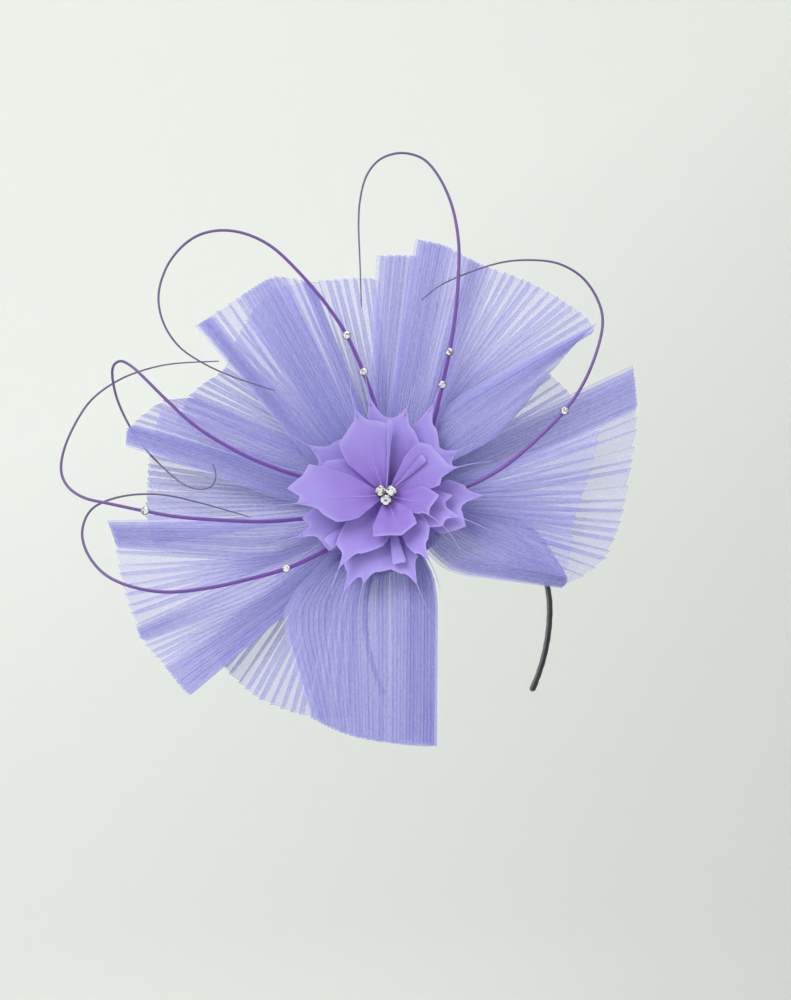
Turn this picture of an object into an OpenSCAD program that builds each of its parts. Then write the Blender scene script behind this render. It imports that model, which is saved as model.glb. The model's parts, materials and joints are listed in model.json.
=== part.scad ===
// Fascinator headpiece: a pleated crin fan, a cut-feather flower and six looped quills, carried by a
// riser and a small domed base on a satin-covered spring headband.
// Millimetres. +Z is up, -Y is the side that the fan faces, and the origin is the centre of the
// headband's round arc, where the middle of the wearer's head is.

/* [Headband] */
// Inner radius of the band's round arc
band_r = 68; // [62:1:76]
// Width of the satin-covered band, front to back
band_w = 7; // [5:0.5:10]
// Angle by which the wearer's face is turned from the way the fan faces
head_turn = 17; // [0:1:30]
// Length of each leg below the round arc
leg_len = 60; // [45:1:70]

/* [Base] */
// Radius of the domed base
base_r = 34; // [30:1:38]
// Place of the base on the band's arc, counted from the wearer's left
base_at = 130; // [115:1:140]

/* [Fan] */
// Distance of the fan's centre from the origin, across, forward and up
fan_x = -52; // [-60:1:-45]
// Forward is negative
fan_y = -64; // [-70:1:-60]
// Height of the fan's centre
fan_z = 82; // [76:1:90]
// Angle by which the fan leans back
fan_tilt = 10; // [0:1:15]
// Thickness of the pleated crin, one layer of closed pleats
crin_t = 1.6; // [1.2:0.1:1.8]

/* [Flower] */
// Length of the longest feather, from the flower's axis
petal_l = 64; // [50:1:68]
// Radius of the crystals in the middle
crystal_r = 3.1; // [2.6:0.1:3.2]

/* [Quills] */
// Radius of a quill at its root
quill_r = 1.4; // [1.1:0.1:1.5]
// Radius of a quill at its tip
quill_tip_r = 0.4; // [0.3:0.1:0.6]
// Radius of the flat-backed stones on the quills
stone_r = 2.4; // [2:0.1:2.6]

/* [Hidden] */
$fn = 64;

// Headband
satin_t = 0.7;
spring_t = 1.2;
fit_gap = 0.05;
band_t = spring_t + 2 * satin_t;
leg_r = 130;
leg_gap = 0.5;
leg_angle = leg_len / leg_r * 180 / PI;
tip_len = 7;
tip_angle = tip_len / leg_r * 180 / PI;
tip_wall = 0.6;

// Base, as layers of one sphere whose underside touches the band
dome_r = 100;
lining_t = 0.8;
form_t = 1.5;
cover_t = 1;
layer_gap = 0.05;
base_lean = 8;
binding_r = 1.4;
stitch_r = 0.35;
stitch_step = 4;

// Fan, counted from its centre: u across, v up, w towards the viewer
disc_r = 30;
disc_back = -14;
disc_front = -11;
pad_r = 17;
pad_front = 6.7;
riser_low_r = 17;
riser_high_r = 20;
root_r = 18.5;
root_w = [-7, -3, 1, 5];
rim_w = [-16, -4, 8, 20];
spread_end = 150;
pleat_h = 0.5;
radial_steps = 6;
thread_r = 0.5;

// Flower
flower_back = 9.7;
flower_front = 11.2;
flower_r = 17;
petal_t = 0.5;
// The flower sits a little below the fan's centre
flower_u = 0.7;
flower_v = -5;
petal_steps = 8;
petal_across = 6;
shank_r = 1.2;
cup_r = crystal_r + 0.5;
cup_h = 3.2;
cup_w = 33;
crystal_clear = 0.05;

quill_sides = 8;
quill_w = 8.2;
stone_clear = 0.6;

// ---- helpers -------------------------------------------------------------------------------------

// Value of a list of vectors at share s of its length, straight between its points
function along(list, s) =
    let (f = s * (len(list) - 1), i = min(floor(f), len(list) - 2))
    list[i] + (list[i + 1] - list[i]) * (f - i);

function smooth(t) = let (c = max(0, min(1, t))) c * c * (3 - 2 * c);

function polar(angle, r) = [r * cos(angle), r * sin(angle)];

function unit(v) = v / norm(v);

// Frames in which the sub-parts are drawn
module head_frame() {
    rotate([0, 0, head_turn]) children();
}

module seat_frame() {
    head_frame()
        rotate([0, 90 - base_at, 0])
            translate([0, 0, band_r + band_t + 0.1])
                children();
}

module dome_frame() {
    seat_frame() translate([0, 0, -dome_r]) rotate([base_lean, 0, 0]) children();
}

module fan_frame() {
    translate([fan_x, fan_y, fan_z]) rotate([-fan_tilt, 0, 0]) children();
}

// A disc or ring whose axis is the fan's, from depth back to depth front
module fan_cylinder(r, back, front) {
    fan_frame() translate([0, -back, 0]) rotate([90, 0, 0]) cylinder(r = r, h = front - back);
}

// A closed plate from two grids of points, front and back, each a list of rows
module plate(front, back) {
    rows = len(front);
    cols = len(front[0]);
    all_points = concat([for (row = front) each row], [for (row = back) each row]);
    far = rows * cols;
    function id(i, j) = i * cols + j;
    faces = concat(
        [for (i = [0 : rows - 2], j = [0 : cols - 2])
            each [[id(i, j), id(i, j + 1), id(i + 1, j + 1)], [id(i, j), id(i + 1, j + 1), id(i + 1, j)]]],
        [for (i = [0 : rows - 2], j = [0 : cols - 2])
            each [[far + id(i, j), far + id(i + 1, j + 1), far + id(i, j + 1)],
                  [far + id(i, j), far + id(i + 1, j), far + id(i + 1, j + 1)]]],
        [for (i = [0 : rows - 2])
            each [[id(i, 0), id(i + 1, 0), far + id(i + 1, 0)], [id(i, 0), far + id(i + 1, 0), far + id(i, 0)]]],
        [for (i = [0 : rows - 2])
            each [[id(i, cols - 1), far + id(i + 1, cols - 1), id(i + 1, cols - 1)],
                  [id(i, cols - 1), far + id(i, cols - 1), far + id(i + 1, cols - 1)]]],
        [for (j = [0 : cols - 2])
            each [[id(0, j), far + id(0, j + 1), id(0, j + 1)], [id(0, j), far + id(0, j), far + id(0, j + 1)]]],
        [for (j = [0 : cols - 2])
            each [[id(rows - 1, j), id(rows - 1, j + 1), far + id(rows - 1, j + 1)],
                  [id(rows - 1, j), far + id(rows - 1, j + 1), far + id(rows - 1, j)]]]
    );
    polyhedron(points = all_points, faces = faces);
}

// ---- headband ------------------------------------------------------------------------------------

// The strip's section swept round an arc, over the head from the wearer's left
module crown_arc(inner, thick, wide) {
    head_frame() rotate([90, 0, 0]) rotate_extrude(angle = 180)
        translate([inner, -wide / 2]) square([thick, wide]);
}

// The same section along a leg: side is 1 for the wearer's left and -1 for the right
module leg_arc(side, inner, thick, wide, from, to) {
    centre = band_r + band_t / 2 - leg_r;
    start = -(leg_gap + from) / leg_r * 180 / PI;
    sweep = -(to - from) / leg_r * 180 / PI;
    head_frame() mirror([side < 0 ? 1 : 0, 0, 0]) translate([centre, 0, 0]) rotate([90, 0, 0])
        rotate([0, 0, start + sweep]) rotate_extrude(angle = -sweep)
            translate([leg_r - band_t / 2 + inner, -wide / 2]) square([thick, wide]);
}

module band_crown_spring() {
    color("silver") crown_arc(band_r + satin_t + fit_gap, spring_t - 2 * fit_gap, band_w - 2 * satin_t - 2 * fit_gap);
}

module band_crown_satin() {
    color("black") difference() {
        crown_arc(band_r, band_t, band_w);
        crown_arc(band_r + satin_t, spring_t, band_w - 2 * satin_t);
    }
}

module band_leg_spring(side) {
    color("silver")
        leg_arc(side, satin_t + fit_gap, spring_t - 2 * fit_gap, band_w - 2 * satin_t - 2 * fit_gap, 0, leg_len);
}

module band_leg_satin(side) {
    color("black") difference() {
        leg_arc(side, 0, band_t, band_w, 0, leg_len - tip_len);
        leg_arc(side, satin_t, spring_t, band_w - 2 * satin_t, -1, leg_len);
    }
}

// A closed sleeve over the end of the leg
module band_leg_tip(side) {
    color("black") difference() {
        leg_arc(side, -tip_wall / 2, band_t + tip_wall, band_w + tip_wall, leg_len - tip_len + 0.1, leg_len + 1.5);
        leg_arc(side, satin_t, spring_t, band_w - 2 * satin_t, 0, leg_len + 0.1);
    }
}

// Thread bars along both edges of the band, up to the lining
module band_stitches() {
    color("mediumpurple") for (side = [-1, 1], k = [-2 : 2])
        head_frame() rotate([0, 90 - base_at + k * stitch_step, 0])
            translate([0, side * (band_w / 2 + stitch_r + 0.05), band_r + satin_t])
                cylinder(r = stitch_r, h = band_t - satin_t - 0.05, $fn = 24);
}

// ---- base, riser and middle ----------------------------------------------------------------------

// A spherical shell from inner to inner + thick, cut to radius r
module dome_layer(inner, thick, r) {
    dome_frame() intersection() {
        difference() {
            sphere(r = inner + thick, $fn = 96);
            sphere(r = inner, $fn = 96);
        }
        translate([0, 0, inner / 2]) cylinder(r = r, h = inner);
    }
}

module base_lining() {
    color("mediumpurple") dome_layer(dome_r, lining_t, base_r - 0.4);
}

module base_form() {
    color("lavender") dome_layer(dome_r + lining_t + layer_gap, form_t, base_r - 0.2);
}

module base_cover() {
    color("mediumpurple") dome_layer(dome_r + lining_t + form_t + 2 * layer_gap, cover_t, base_r);
}

// A round cord of folded bias cloth that closes the rim of the three layers
module base_binding() {
    rim = dome_r + (lining_t + form_t + cover_t) / 2;
    color("mediumpurple") dome_frame()
        translate([0, 0, sqrt(rim * rim - base_r * base_r)])
            rotate_extrude() translate([base_r + binding_r + 0.25, 0]) circle(r = binding_r, $fn = 24);
}

// A felt-covered block that lifts the fan off the base
module riser() {
    top = dome_r + lining_t + form_t + cover_t + 2 * layer_gap;
    color("mediumpurple") hull() {
        dome_frame() translate([0, 0, top + 0.1]) cylinder(r = riser_low_r, h = 1, $fn = 32);
        fan_cylinder(riser_high_r, disc_back - 1.1, disc_back - 0.1, $fn = 32);
    }
}

module fan_disc() {
    color("mediumpurple") fan_cylinder(disc_r, disc_back, disc_front);
}

module centre_pad() {
    color("mediumpurple") fan_cylinder(pad_r, disc_front + 0.05, pad_front);
}

// The running thread that gathers the crin, behind its roots
module gather_thread() {
    color("slateblue") fan_frame() translate([0, -(disc_front + thread_r + 0.1), 0]) rotate([90, 0, 0])
        rotate_extrude() translate([pad_r + 4, 0]) circle(r = thread_r, $fn = 16);
}

// ---- crin ----------------------------------------------------------------------------------------

// One gathered length of pleated crin. rim is a list of [angle, radius] at its outer edge, roots are the
// angles at which its two ends leave the ring, layer says which of the stacked layers it lies in
module crin(layer, rim, roots, pleats) {
    cols = 2 * pleats;
    function point(s, t, side) =
        let (
            edge = along(rim, s),
            outer = polar(edge[0], edge[1]),
            inner = polar(roots[0] + (roots[1] - roots[0]) * s, root_r),
            place = inner + (outer - inner) * t,
            depth = root_w[layer] + (rim_w[layer] - root_w[layer]) * smooth((norm(place) - root_r) / spread_end),
            ridge = (round(s * cols) % 2 == 0 ? pleat_h : -pleat_h)
        )
        [place[0], -(depth + ridge + side * crin_t / 2), place[1]];
    color("mediumslateblue") fan_frame() plate(
        [for (i = [0 : cols]) [for (j = [0 : radial_steps]) point(i / cols, j / radial_steps, 1)]],
        [for (i = [0 : cols]) [for (j = [0 : radial_steps]) point(i / cols, j / radial_steps, -1)]]
    );
}

module crin_bottom() { crin(2, [[249, 162], [262, 168], [272, 172], [282, 174]], [232, 308], 12); }
module crin_lower_left_back() { crin(0, [[227, 160], [242, 164], [259, 166]], [215, 255], 10); }
module crin_lower_left() { crin(1, [[184.5, 190], [196, 190], [214, 191], [226.5, 191]], [176, 236], 14); }
module crin_left_back() { crin(0, [[167, 162], [178, 162], [188, 164]], [160, 190], 7); }
module crin_left() { crin(2, [[154, 156], [160, 170], [166, 180], [170, 179]], [140, 186], 8); }
module crin_upper_left() { crin(3, [[116, 168], [124, 170], [131, 173], [138.5, 174]], [92, 176], 10); }
module crin_upper_left_back() { crin(0, [[93, 148], [104, 152], [118, 162], [142, 142], [155, 150]], [80, 142], 16); }
module crin_top_strip() { crin(1, [[84.5, 165], [88, 164], [92.5, 163]], [76, 100], 4); }
module crin_top() { crin(2, [[38, 182], [52, 180], [66, 171], [84, 174]], [40, 100], 14); }
module crin_upper_right() { crin(3, [[27, 168], [34, 180], [39, 185], [43, 180]], [8, 66], 8); }
module crin_right() { crin(0, [[-26, 142], [-16, 158], [0, 164], [15, 176], [28, 190]], [-24, 34], 16); }
module crin_curl() { crin(1, [[-27, 140], [-22, 132], [-12, 122]], [-80, -20], 7); }

// ---- flower --------------------------------------------------------------------------------------

// Half width of a feather, as a share of its greatest, at shares of its length: two thorns on the
// shoulder and one at the tip
petal_outline = [
    [0.05, 0.06], [0.22, 0.45], [0.42, 0.80], [0.58, 0.95], [0.70, 1.00],
    [0.76, 0.74], [0.84, 0.62], [0.92, 0.30], [1.00, 0.03]
];

// The flower's own place on the fan
module flower_place() {
    translate([flower_u, flower_v * sin(fan_tilt), flower_v * cos(fan_tilt)]) children();
}

// One cut feather: it points along angle, and rises by lift from its foot at depth base to its tip
module petal(angle, length, half, base, lift) {
    function point(i, j, side) =
        let (
            edge = petal_outline[i],
            x = length * edge[0],
            y = half * edge[1] * (2 * j / petal_across - 1),
            depth = base + lift * pow(norm([x, y]) / petal_l, 1.3) + side * petal_t / 2
        )
        [x * cos(angle) - y * sin(angle), -depth, x * sin(angle) + y * cos(angle)];
    color("mediumpurple") flower_place() fan_frame() plate(
        [for (i = [0 : petal_steps]) [for (j = [petal_across : -1 : 0]) point(i, j, 1)]],
        [for (i = [0 : petal_steps]) [for (j = [petal_across : -1 : 0]) point(i, j, -1)]]
    );
}

// Each tier: the feathers' [angle, length, half width], their foot depth, its step and their lift
back_tier = [[138, 60, 19], [48, 64, 22], [355, 64, 19], [266, 64, 24], [208, 62, 19]];
middle_tier = [[88, 62, 18], [344, 56, 15], [300, 58, 15], [240, 58, 19], [160, 50, 17]];
front_tier = [[111, 58, 18], [44, 35, 3], [24, 50, 18], [348, 36, 11], [272, 34, 13], [184, 60, 19]];
back_foot = 12;
middle_foot = 17.5;
front_foot = 23;
foot_step = 0.95;
back_lift = 8;
middle_lift = 13;
front_lift = 18;

module petal_back(k) {
    p = back_tier[k];
    petal(p[0], p[1], p[2], back_foot + k * foot_step, back_lift);
}

module petal_middle(k) {
    p = middle_tier[k];
    petal(p[0], p[1], p[2], middle_foot + k * foot_step, middle_lift);
}

module petal_front(k) {
    p = front_tier[k];
    petal(p[0], p[1], p[2], front_foot + k * foot_step, front_lift);
}

module flower_disc() {
    color("mediumpurple") flower_place() fan_cylinder(flower_r, flower_back, flower_front);
}

// The three cups of the middle, at the corners of a triangle
module at_cups() {
    for (angle = [30, 150, 270])
        flower_place() fan_frame()
            translate([polar(angle, 1.15 * cup_r)[0], -cup_w, polar(angle, 1.15 * cup_r)[1]])
                rotate([90, 0, 0]) children();
}

module centre_setting() {
    color("dimgray") {
        difference() {
            union() {
                at_cups() translate([0, 0, -cup_h]) cylinder(r = cup_r, h = cup_h);
                flower_place() fan_cylinder(2.4, cup_w - cup_h, cup_w - 1.5);
            }
            at_cups() translate([0, 0, -cup_h + 0.8]) cylinder(r = crystal_r + crystal_clear, h = cup_h);
        }
        flower_place() fan_cylinder(shank_r, flower_front + 0.05, cup_w - cup_h + 0.3);
    }
}

// A cut crystal with its girdle at height 0 and its point below
module crystal(r) {
    rotate_extrude() polygon([[0, -0.7 * r], [r, 0], [r, 0.12 * r], [0.62 * r, 0.5 * r], [0, 0.5 * r]]);
}

module centre_crystals() {
    color("white") at_cups() translate([0, 0, -0.2]) crystal(crystal_r);
}

// ---- quills --------------------------------------------------------------------------------------

// Each quill's route from its root, as [u, v, w]
quill_1_line = [
    [2, 16, 8.2], [0, 29.6, 9.5], [-3, 44, 12], [-7, 60.1, 15], [-12.9, 76.3, 20], [-19.9, 92.5, 25],
    [-27.8, 107.8, 29], [-40.7, 126.4, 32], [-57.7, 146.4, 34], [-75.7, 164, 34], [-92.8, 173.3, 34],
    [-109.8, 176.4, 34], [-125.7, 173.3, 34], [-138.5, 164, 34], [-148.2, 149.5, 34], [-152.8, 131, 34],
    [-149.5, 112.6, 34], [-139.4, 96.6, 33], [-124.5, 85.6, 32], [-103.6, 75.7, 31], [-74, 65.8, 30]
];
quill_2_line = [
    [22, 14, 8.2], [29, 33.5, 10], [33.9, 50.9, 13], [38.8, 72.7, 18], [43.8, 95, 23], [47.8, 120.9, 26],
    [49.9, 147.2, 28], [50, 169.7, 29], [46.1, 193.6, 29], [38.2, 213.9, 28], [28.2, 227.9, 27], [17.1, 233.5, 26],
    [5.9, 233.9, 25], [-5.2, 229, 24], [-13.3, 217.7, 23], [-17.3, 201.2, 22], [-18.2, 183.6, 21],
    [-17.2, 157.8, 20], [-16.1, 126.9, 19]
];
quill_3_line = [
    [20, -6, 8.2], [36.9, -2.6, 10.5], [57.7, 4.4, 14], [78.1, 14.5, 20], [97.6, 29.4, 26], [120.3, 51.7, 30],
    [134.2, 72.4, 32], [143.5, 95.8, 32], [146.8, 114.2, 32], [143.2, 129.8, 31], [133.6, 144.5, 30],
    [118.8, 154.1, 29], [101.9, 157.5, 27], [81, 156.8, 25], [59, 150.8, 22.5], [37.9, 141.5, 21.5], [24.9, 131.2, 21]
];
quill_4_line = [
    [-22, 2, 8.2], [-37.9, 6.4, 10.5], [-57.7, 10.5, 13.5], [-81.1, 17.9, 18], [-103.9, 28.6, 20],
    [-127.8, 43.5, 21], [-147.9, 61.8, 21], [-163.3, 77.3, 20], [-172.7, 86, 18], [-180.3, 90.1, 14],
    [-186, 87.4, 8], [-186.6, 78.5, 2], [-182.9, 64.2, -3], [-173.6, 45.8, -4], [-162, 30.2, -3],
    [-150.3, 18.1, 1], [-137.6, 7, 6], [-126.1, 2.2, 10], [-116.9, 3.5, 14], [-113.8, 10.2, 16], [-115.8, 18.1, 17]
];
quill_5_line = [
    [-21, -10, 8.2], [-37.9, -15.7, 10.5], [-56.5, -18.6, 13], [-82.7, -21.1, 17], [-110.1, -20.4, 19],
    [-137.5, -18.7, 21], [-160.1, -14.9, 22], [-183.8, -9.9, 22], [-200.8, -5.8, 21], [-212.4, 2, 17],
    [-218.5, 13, 12], [-218.9, 27.3, 6], [-214.1, 44.7, 1], [-204, 63.9, -2], [-190.3, 76.6, -3],
    [-172.3, 85.9, -3], [-148.1, 92.2, -3], [-114.7, 94.3, -3]
];
quill_6_line = [
    [-18, -22, 8.2], [-29.9, -33.7, 10.5], [-44.5, -42.6, 13], [-65.7, -52.9, 17], [-89.8, -60.4, 21],
    [-115.9, -66.7, 24], [-142.9, -69.9, 26], [-165.3, -66.9, 26], [-184.4, -58.7, 23], [-197.7, -44.7, 15],
    [-204.5, -28.1, 5], [-202.5, -12.3, -5], [-193.2, -3.5, -9], [-174.3, 1.8, -10], [-151.1, 1.6, -9],
    [-127.7, -3.7, -8], [-109.5, -8.9, -7], [-92.3, -14.2, -6]
];
rings_per_span = 3;

// A point and a direction on a smooth curve through the route's points
function route_point(line, s) =
    let (
        f = s * (len(line) - 1),
        i = min(floor(f), len(line) - 2),
        t = f - i,
        a = line[max(i - 1, 0)], b = line[i], c = line[i + 1], d = line[min(i + 2, len(line) - 1)]
    )
    0.5 * (2 * b + (c - a) * t + (2 * a - 5 * b + 4 * c - d) * t * t + (3 * b - a - 3 * c + d) * t * t * t);

function route_direction(line, s) =
    unit(route_point(line, min(1, s + 0.004)) - route_point(line, max(0, s - 0.004)));

// u, v, w of a route in the fan frame's own axes
function in_fan(p) = [p[0], -p[2], p[1]];

function quill_radius(s) = quill_tip_r + (quill_r - quill_tip_r) * pow(1 - s, 1.4);

// A tapering tube along a route, closed at both ends
module quill(line) {
    rings = rings_per_span * (len(line) - 1);
    function ring(k) =
        let (
            s = k / rings,
            here = in_fan(route_point(line, s)),
            ahead = in_fan(route_direction(line, s)),
            side = unit(cross(ahead, [0, -1, 0])),
            up = cross(side, ahead),
            r = quill_radius(s)
        )
        [for (q = [0 : quill_sides - 1])
            here + r * (cos(360 * q / quill_sides) * side + sin(360 * q / quill_sides) * up)];
    function id(k, q) = k * quill_sides + (q % quill_sides);
    color("indigo") fan_frame() polyhedron(
        points = [for (k = [0 : rings]) each ring(k)],
        faces = concat(
            [for (k = [0 : rings - 1], q = [0 : quill_sides - 1])
                each [[id(k, q), id(k, q + 1), id(k + 1, q + 1)], [id(k, q), id(k + 1, q + 1), id(k + 1, q)]]],
            [[for (q = [quill_sides - 1 : -1 : 0]) id(0, q)], [for (q = [0 : quill_sides - 1]) id(rings, q)]]
        )
    );
}

// Flat-backed stones that lie on a quill, at shares of its route
module stones(line, places) {
    color("white") fan_frame() for (s = places)
        translate(in_fan(route_point(line, s) + [0, 0, quill_radius(s) + stone_clear]))
            rotate([90, 0, 0]) rotate_extrude()
                polygon([[0, 0], [0.9 * stone_r, 0], [stone_r, 0.4], [0.62 * stone_r, 1.4], [0, 1.4]]);
}

// ---- nodes ---------------------------------------------------------------------------------------

band_crown_spring();
band_crown_satin();
band_leg_spring(1);  // band_left_spring
band_leg_satin(1);  // band_left_satin
band_leg_tip(1);  // band_left_tip
band_leg_spring(-1);  // band_right_spring
band_leg_satin(-1);  // band_right_satin
band_leg_tip(-1);  // band_right_tip
band_stitches();
base_lining();
base_form();
base_cover();
base_binding();
riser();
fan_disc();
centre_pad();
gather_thread();
crin_bottom();
crin_lower_left_back();
crin_lower_left();
crin_left_back();
crin_left();
crin_upper_left();
crin_upper_left_back();
crin_top_strip();
crin_top();
crin_upper_right();
crin_right();
crin_curl();
flower_disc();
petal_back(0);  // petal_back_1
petal_back(1);  // petal_back_2
petal_back(2);  // petal_back_3
petal_back(3);  // petal_back_4
petal_back(4);  // petal_back_5
petal_middle(0);  // petal_middle_1
petal_middle(1);  // petal_middle_2
petal_middle(2);  // petal_middle_3
petal_middle(3);  // petal_middle_4
petal_middle(4);  // petal_middle_5
petal_front(0);  // petal_front_1
petal_front(1);  // petal_front_2
petal_front(2);  // petal_front_3
petal_front(3);  // petal_front_4
petal_front(4);  // petal_front_5
petal_front(5);  // petal_front_6
centre_setting();
centre_crystals();
quill(quill_1_line);  // quill_1
quill(quill_2_line);  // quill_2
quill(quill_3_line);  // quill_3
quill(quill_4_line);  // quill_4
quill(quill_5_line);  // quill_5
quill(quill_6_line);  // quill_6
stones(quill_1_line, [0.289, 0.2125]);  // quill_1_stones
stones(quill_2_line, [0.166, 0.22]);  // quill_2_stones
stones(quill_3_line, [0.3125]);  // quill_3_stone
stones(quill_5_line, [0.353]);  // quill_5_stone
stones(quill_6_line, [0.1765]);  // quill_6_stone
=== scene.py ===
"""Fascinator headpiece: a pleated crin fan, a cut-feather flower and looped quills on a spring headband."""

import bisect
import json
import math
import random

import bmesh
import bpy
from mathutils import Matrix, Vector


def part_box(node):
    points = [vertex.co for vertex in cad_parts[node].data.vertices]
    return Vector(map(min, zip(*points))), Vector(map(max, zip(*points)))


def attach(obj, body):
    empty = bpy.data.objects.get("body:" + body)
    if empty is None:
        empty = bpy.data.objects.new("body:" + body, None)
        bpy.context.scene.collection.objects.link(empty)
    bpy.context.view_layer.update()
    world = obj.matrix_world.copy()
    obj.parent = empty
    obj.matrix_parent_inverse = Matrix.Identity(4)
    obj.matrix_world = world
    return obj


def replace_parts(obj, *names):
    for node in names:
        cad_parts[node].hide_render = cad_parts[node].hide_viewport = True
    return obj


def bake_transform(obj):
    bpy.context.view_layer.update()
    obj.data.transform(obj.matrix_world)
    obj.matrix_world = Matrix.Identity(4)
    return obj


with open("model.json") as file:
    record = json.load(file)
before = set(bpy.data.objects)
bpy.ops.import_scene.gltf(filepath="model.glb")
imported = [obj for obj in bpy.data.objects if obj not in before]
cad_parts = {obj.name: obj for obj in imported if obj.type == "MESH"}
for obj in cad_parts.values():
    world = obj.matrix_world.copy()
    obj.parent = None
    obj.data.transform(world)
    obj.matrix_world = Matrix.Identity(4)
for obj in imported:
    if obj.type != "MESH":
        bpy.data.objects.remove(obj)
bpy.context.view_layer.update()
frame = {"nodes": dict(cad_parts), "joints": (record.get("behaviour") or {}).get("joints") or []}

bl_info = {
    "name": "Fascinator Headpiece",
    "version": (1, 0, 0),
    "blender": (4, 5, 0),
    "location": "3D View > Sidebar > Fascinator",
    "description": "Builds the crin fan, feather flower, quills, base and headband of a fascinator",
    "category": "Add Mesh",
}

MM = 0.001
HEAD = "headpiece"


# ---- the frame's own places ----------------------------------------------------------------------

JOINTS = {joint["name"]: joint for joint in frame["joints"]}
RIGHT = Vector((1, 0, 0))
NORMAL = Vector(JOINTS["quill_1_sway"]["axis"]).normalized()
UP = NORMAL.cross(RIGHT)
DISC_MIDDLE = -12.5 * MM
FLOWER_SHIFT = (0.7, -5)
FAN_CENTRE = (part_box("fan_disc")[0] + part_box("fan_disc")[1]) / 2 - NORMAL * DISC_MIDDLE


def fan_point(u, v, w):
    """A place in metres from millimetres across, up and out of the fan."""
    return FAN_CENTRE + RIGHT * (u * MM) + UP * (v * MM) + NORMAL * (w * MM)


def flower_point(u, v, w):
    """A place round the flower's own middle, a little below the fan's."""
    return fan_point(u + FLOWER_SHIFT[0], v + FLOWER_SHIFT[1], w)


def polar(angle, radius):
    turn = math.radians(angle)
    return radius * math.cos(turn), radius * math.sin(turn)


def smooth(t):
    t = min(max(t, 0.0), 1.0)
    return t * t * (3 - 2 * t)


def mix(a, b, t):
    return a + (b - a) * t


# ---- sizes and colours that a user would change --------------------------------------------------

class FascinatorCrin(bpy.types.PropertyGroup):
    cloth: bpy.props.FloatProperty(
        name="Cloth per pleat", description="Flat width of crin taken up by one pleat, mm",
        default=12.0, min=8, max=24)
    pleat_height: bpy.props.FloatProperty(
        name="Pleat height", description="How far a pressed pleat stands off the fan at its rim, mm",
        default=1.5, min=0.5, max=3)
    jag: bpy.props.FloatProperty(
        name="Rim jag", description="How far the folded edges step in at the rim, mm",
        default=2.4, min=0, max=5)
    cover: bpy.props.FloatProperty(
        name="Cover", description="Share of light that one layer of the net stops",
        default=0.35, min=0.1, max=0.8, subtype="FACTOR")
    crease: bpy.props.FloatProperty(
        name="Crease", description="Width of the pressed crease along each fold, mm",
        default=0.35, min=0.1, max=1)
    rows: bpy.props.IntProperty(
        name="Rows", description="Steps from the gathered edge to the rim",
        default=26, min=8, max=60)


class FascinatorFlower(bpy.types.PropertyGroup):
    rows: bpy.props.IntProperty(
        name="Rows", description="Steps from a feather's foot to its edge",
        default=16, min=6, max=40)
    shaft: bpy.props.FloatProperty(
        name="Shaft radius", description="Radius of a feather's shaft at its foot, mm",
        default=0.42, min=0.2, max=1)
    hair: bpy.props.FloatProperty(
        name="Hair radius", description="Radius of a thorn's hair where it starts, mm",
        default=0.42, min=0.1, max=0.8)
    cup: bpy.props.FloatProperty(
        name="Cup", description="How far a feather's two sides bend back, mm",
        default=0.7, min=0, max=2)


class FascinatorQuills(bpy.types.PropertyGroup):
    root: bpy.props.FloatProperty(
        name="Root radius", description="Radius of a quill at its root, mm",
        default=1.45, min=0.8, max=2.5)
    tip: bpy.props.FloatProperty(
        name="Tip radius", description="Radius of a quill at its tip, mm",
        default=0.40, min=0.2, max=1)
    stone: bpy.props.FloatProperty(
        name="Stone radius", description="Radius of the flat-backed stones, mm",
        default=2.5, min=1.5, max=4)


class FascinatorBand(bpy.types.PropertyGroup):
    radius: bpy.props.FloatProperty(
        name="Band radius", description="Inner radius of the band's round arc, mm",
        default=68.0, min=60, max=80)
    width: bpy.props.FloatProperty(
        name="Band width", description="Width of the satin-covered band, mm",
        default=7.0, min=5, max=12)
    thick: bpy.props.FloatProperty(
        name="Band thickness", description="Thickness of the satin-covered band, mm",
        default=2.6, min=1.5, max=4)


def colour_property(name, description, value):
    return bpy.props.FloatVectorProperty(
        name=name, description=description, default=linear(value)[:3], subtype="COLOR", size=3, min=0, max=1)


def linear(hex_colour):
    """RGBA in linear light from an sRGB hex colour."""
    channels = [int(hex_colour[i:i + 2], 16) / 255 for i in (0, 2, 4)]
    return tuple(c / 12.92 if c <= 0.04045 else ((c + 0.055) / 1.055) ** 2.4 for c in channels) + (1.0,)


class FascinatorColours(bpy.types.PropertyGroup):
    crin: colour_property("Crin", "Dyed nylon crin", "B2B1EC")
    # Crin, deep is the deeper streaks of dye, and also the painted shade in the folds and near the flower.
    crin_deep: colour_property("Crin, deep", "The crin in its folds and near the flower", "9B97E8")
    crin_light: colour_property("Crin highlight", "Where the crin's threads catch the light", "D2D1F4")
    feather: colour_property("Feather", "Dyed goose feather", "A796E8")
    # Feather, deep is the painted shade near the feathers' feet, and also the colour of the barbs' faint
    # lines.
    feather_deep: colour_property("Feather, deep", "The same dye near the shaft and foot", "8159C0")
    quill: colour_property("Quill", "Stripped quill at its root", "6A3A9C")
    quill_tip: colour_property("Quill tip", "The thin end, where the dye takes less", "5C5272")


# ---- small tools ---------------------------------------------------------------------------------

def rgba(colour):
    return (*colour, 1.0)


def add_node(tree, kind, inputs=None, **settings):
    """A node with its settings; an input is a value or another node's output."""
    node = tree.nodes.new(kind)
    for name, value in settings.items():
        setattr(node, name, value)
    for key, value in (inputs or {}).items():
        if isinstance(value, bpy.types.NodeSocket):
            tree.links.new(value, node.inputs[key])
        else:
            node.inputs[key].default_value = value
    return node


def new_material(name, **sockets):
    """A material with one Principled shader and constants on its sockets."""
    material = bpy.data.materials.new(name)
    material.use_nodes = True
    tree = material.node_tree
    shader = tree.nodes["Principled BSDF"]
    for key, value in sockets.items():
        shader.inputs[key.replace("_", " ")].default_value = value
    return material, tree, shader


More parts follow.
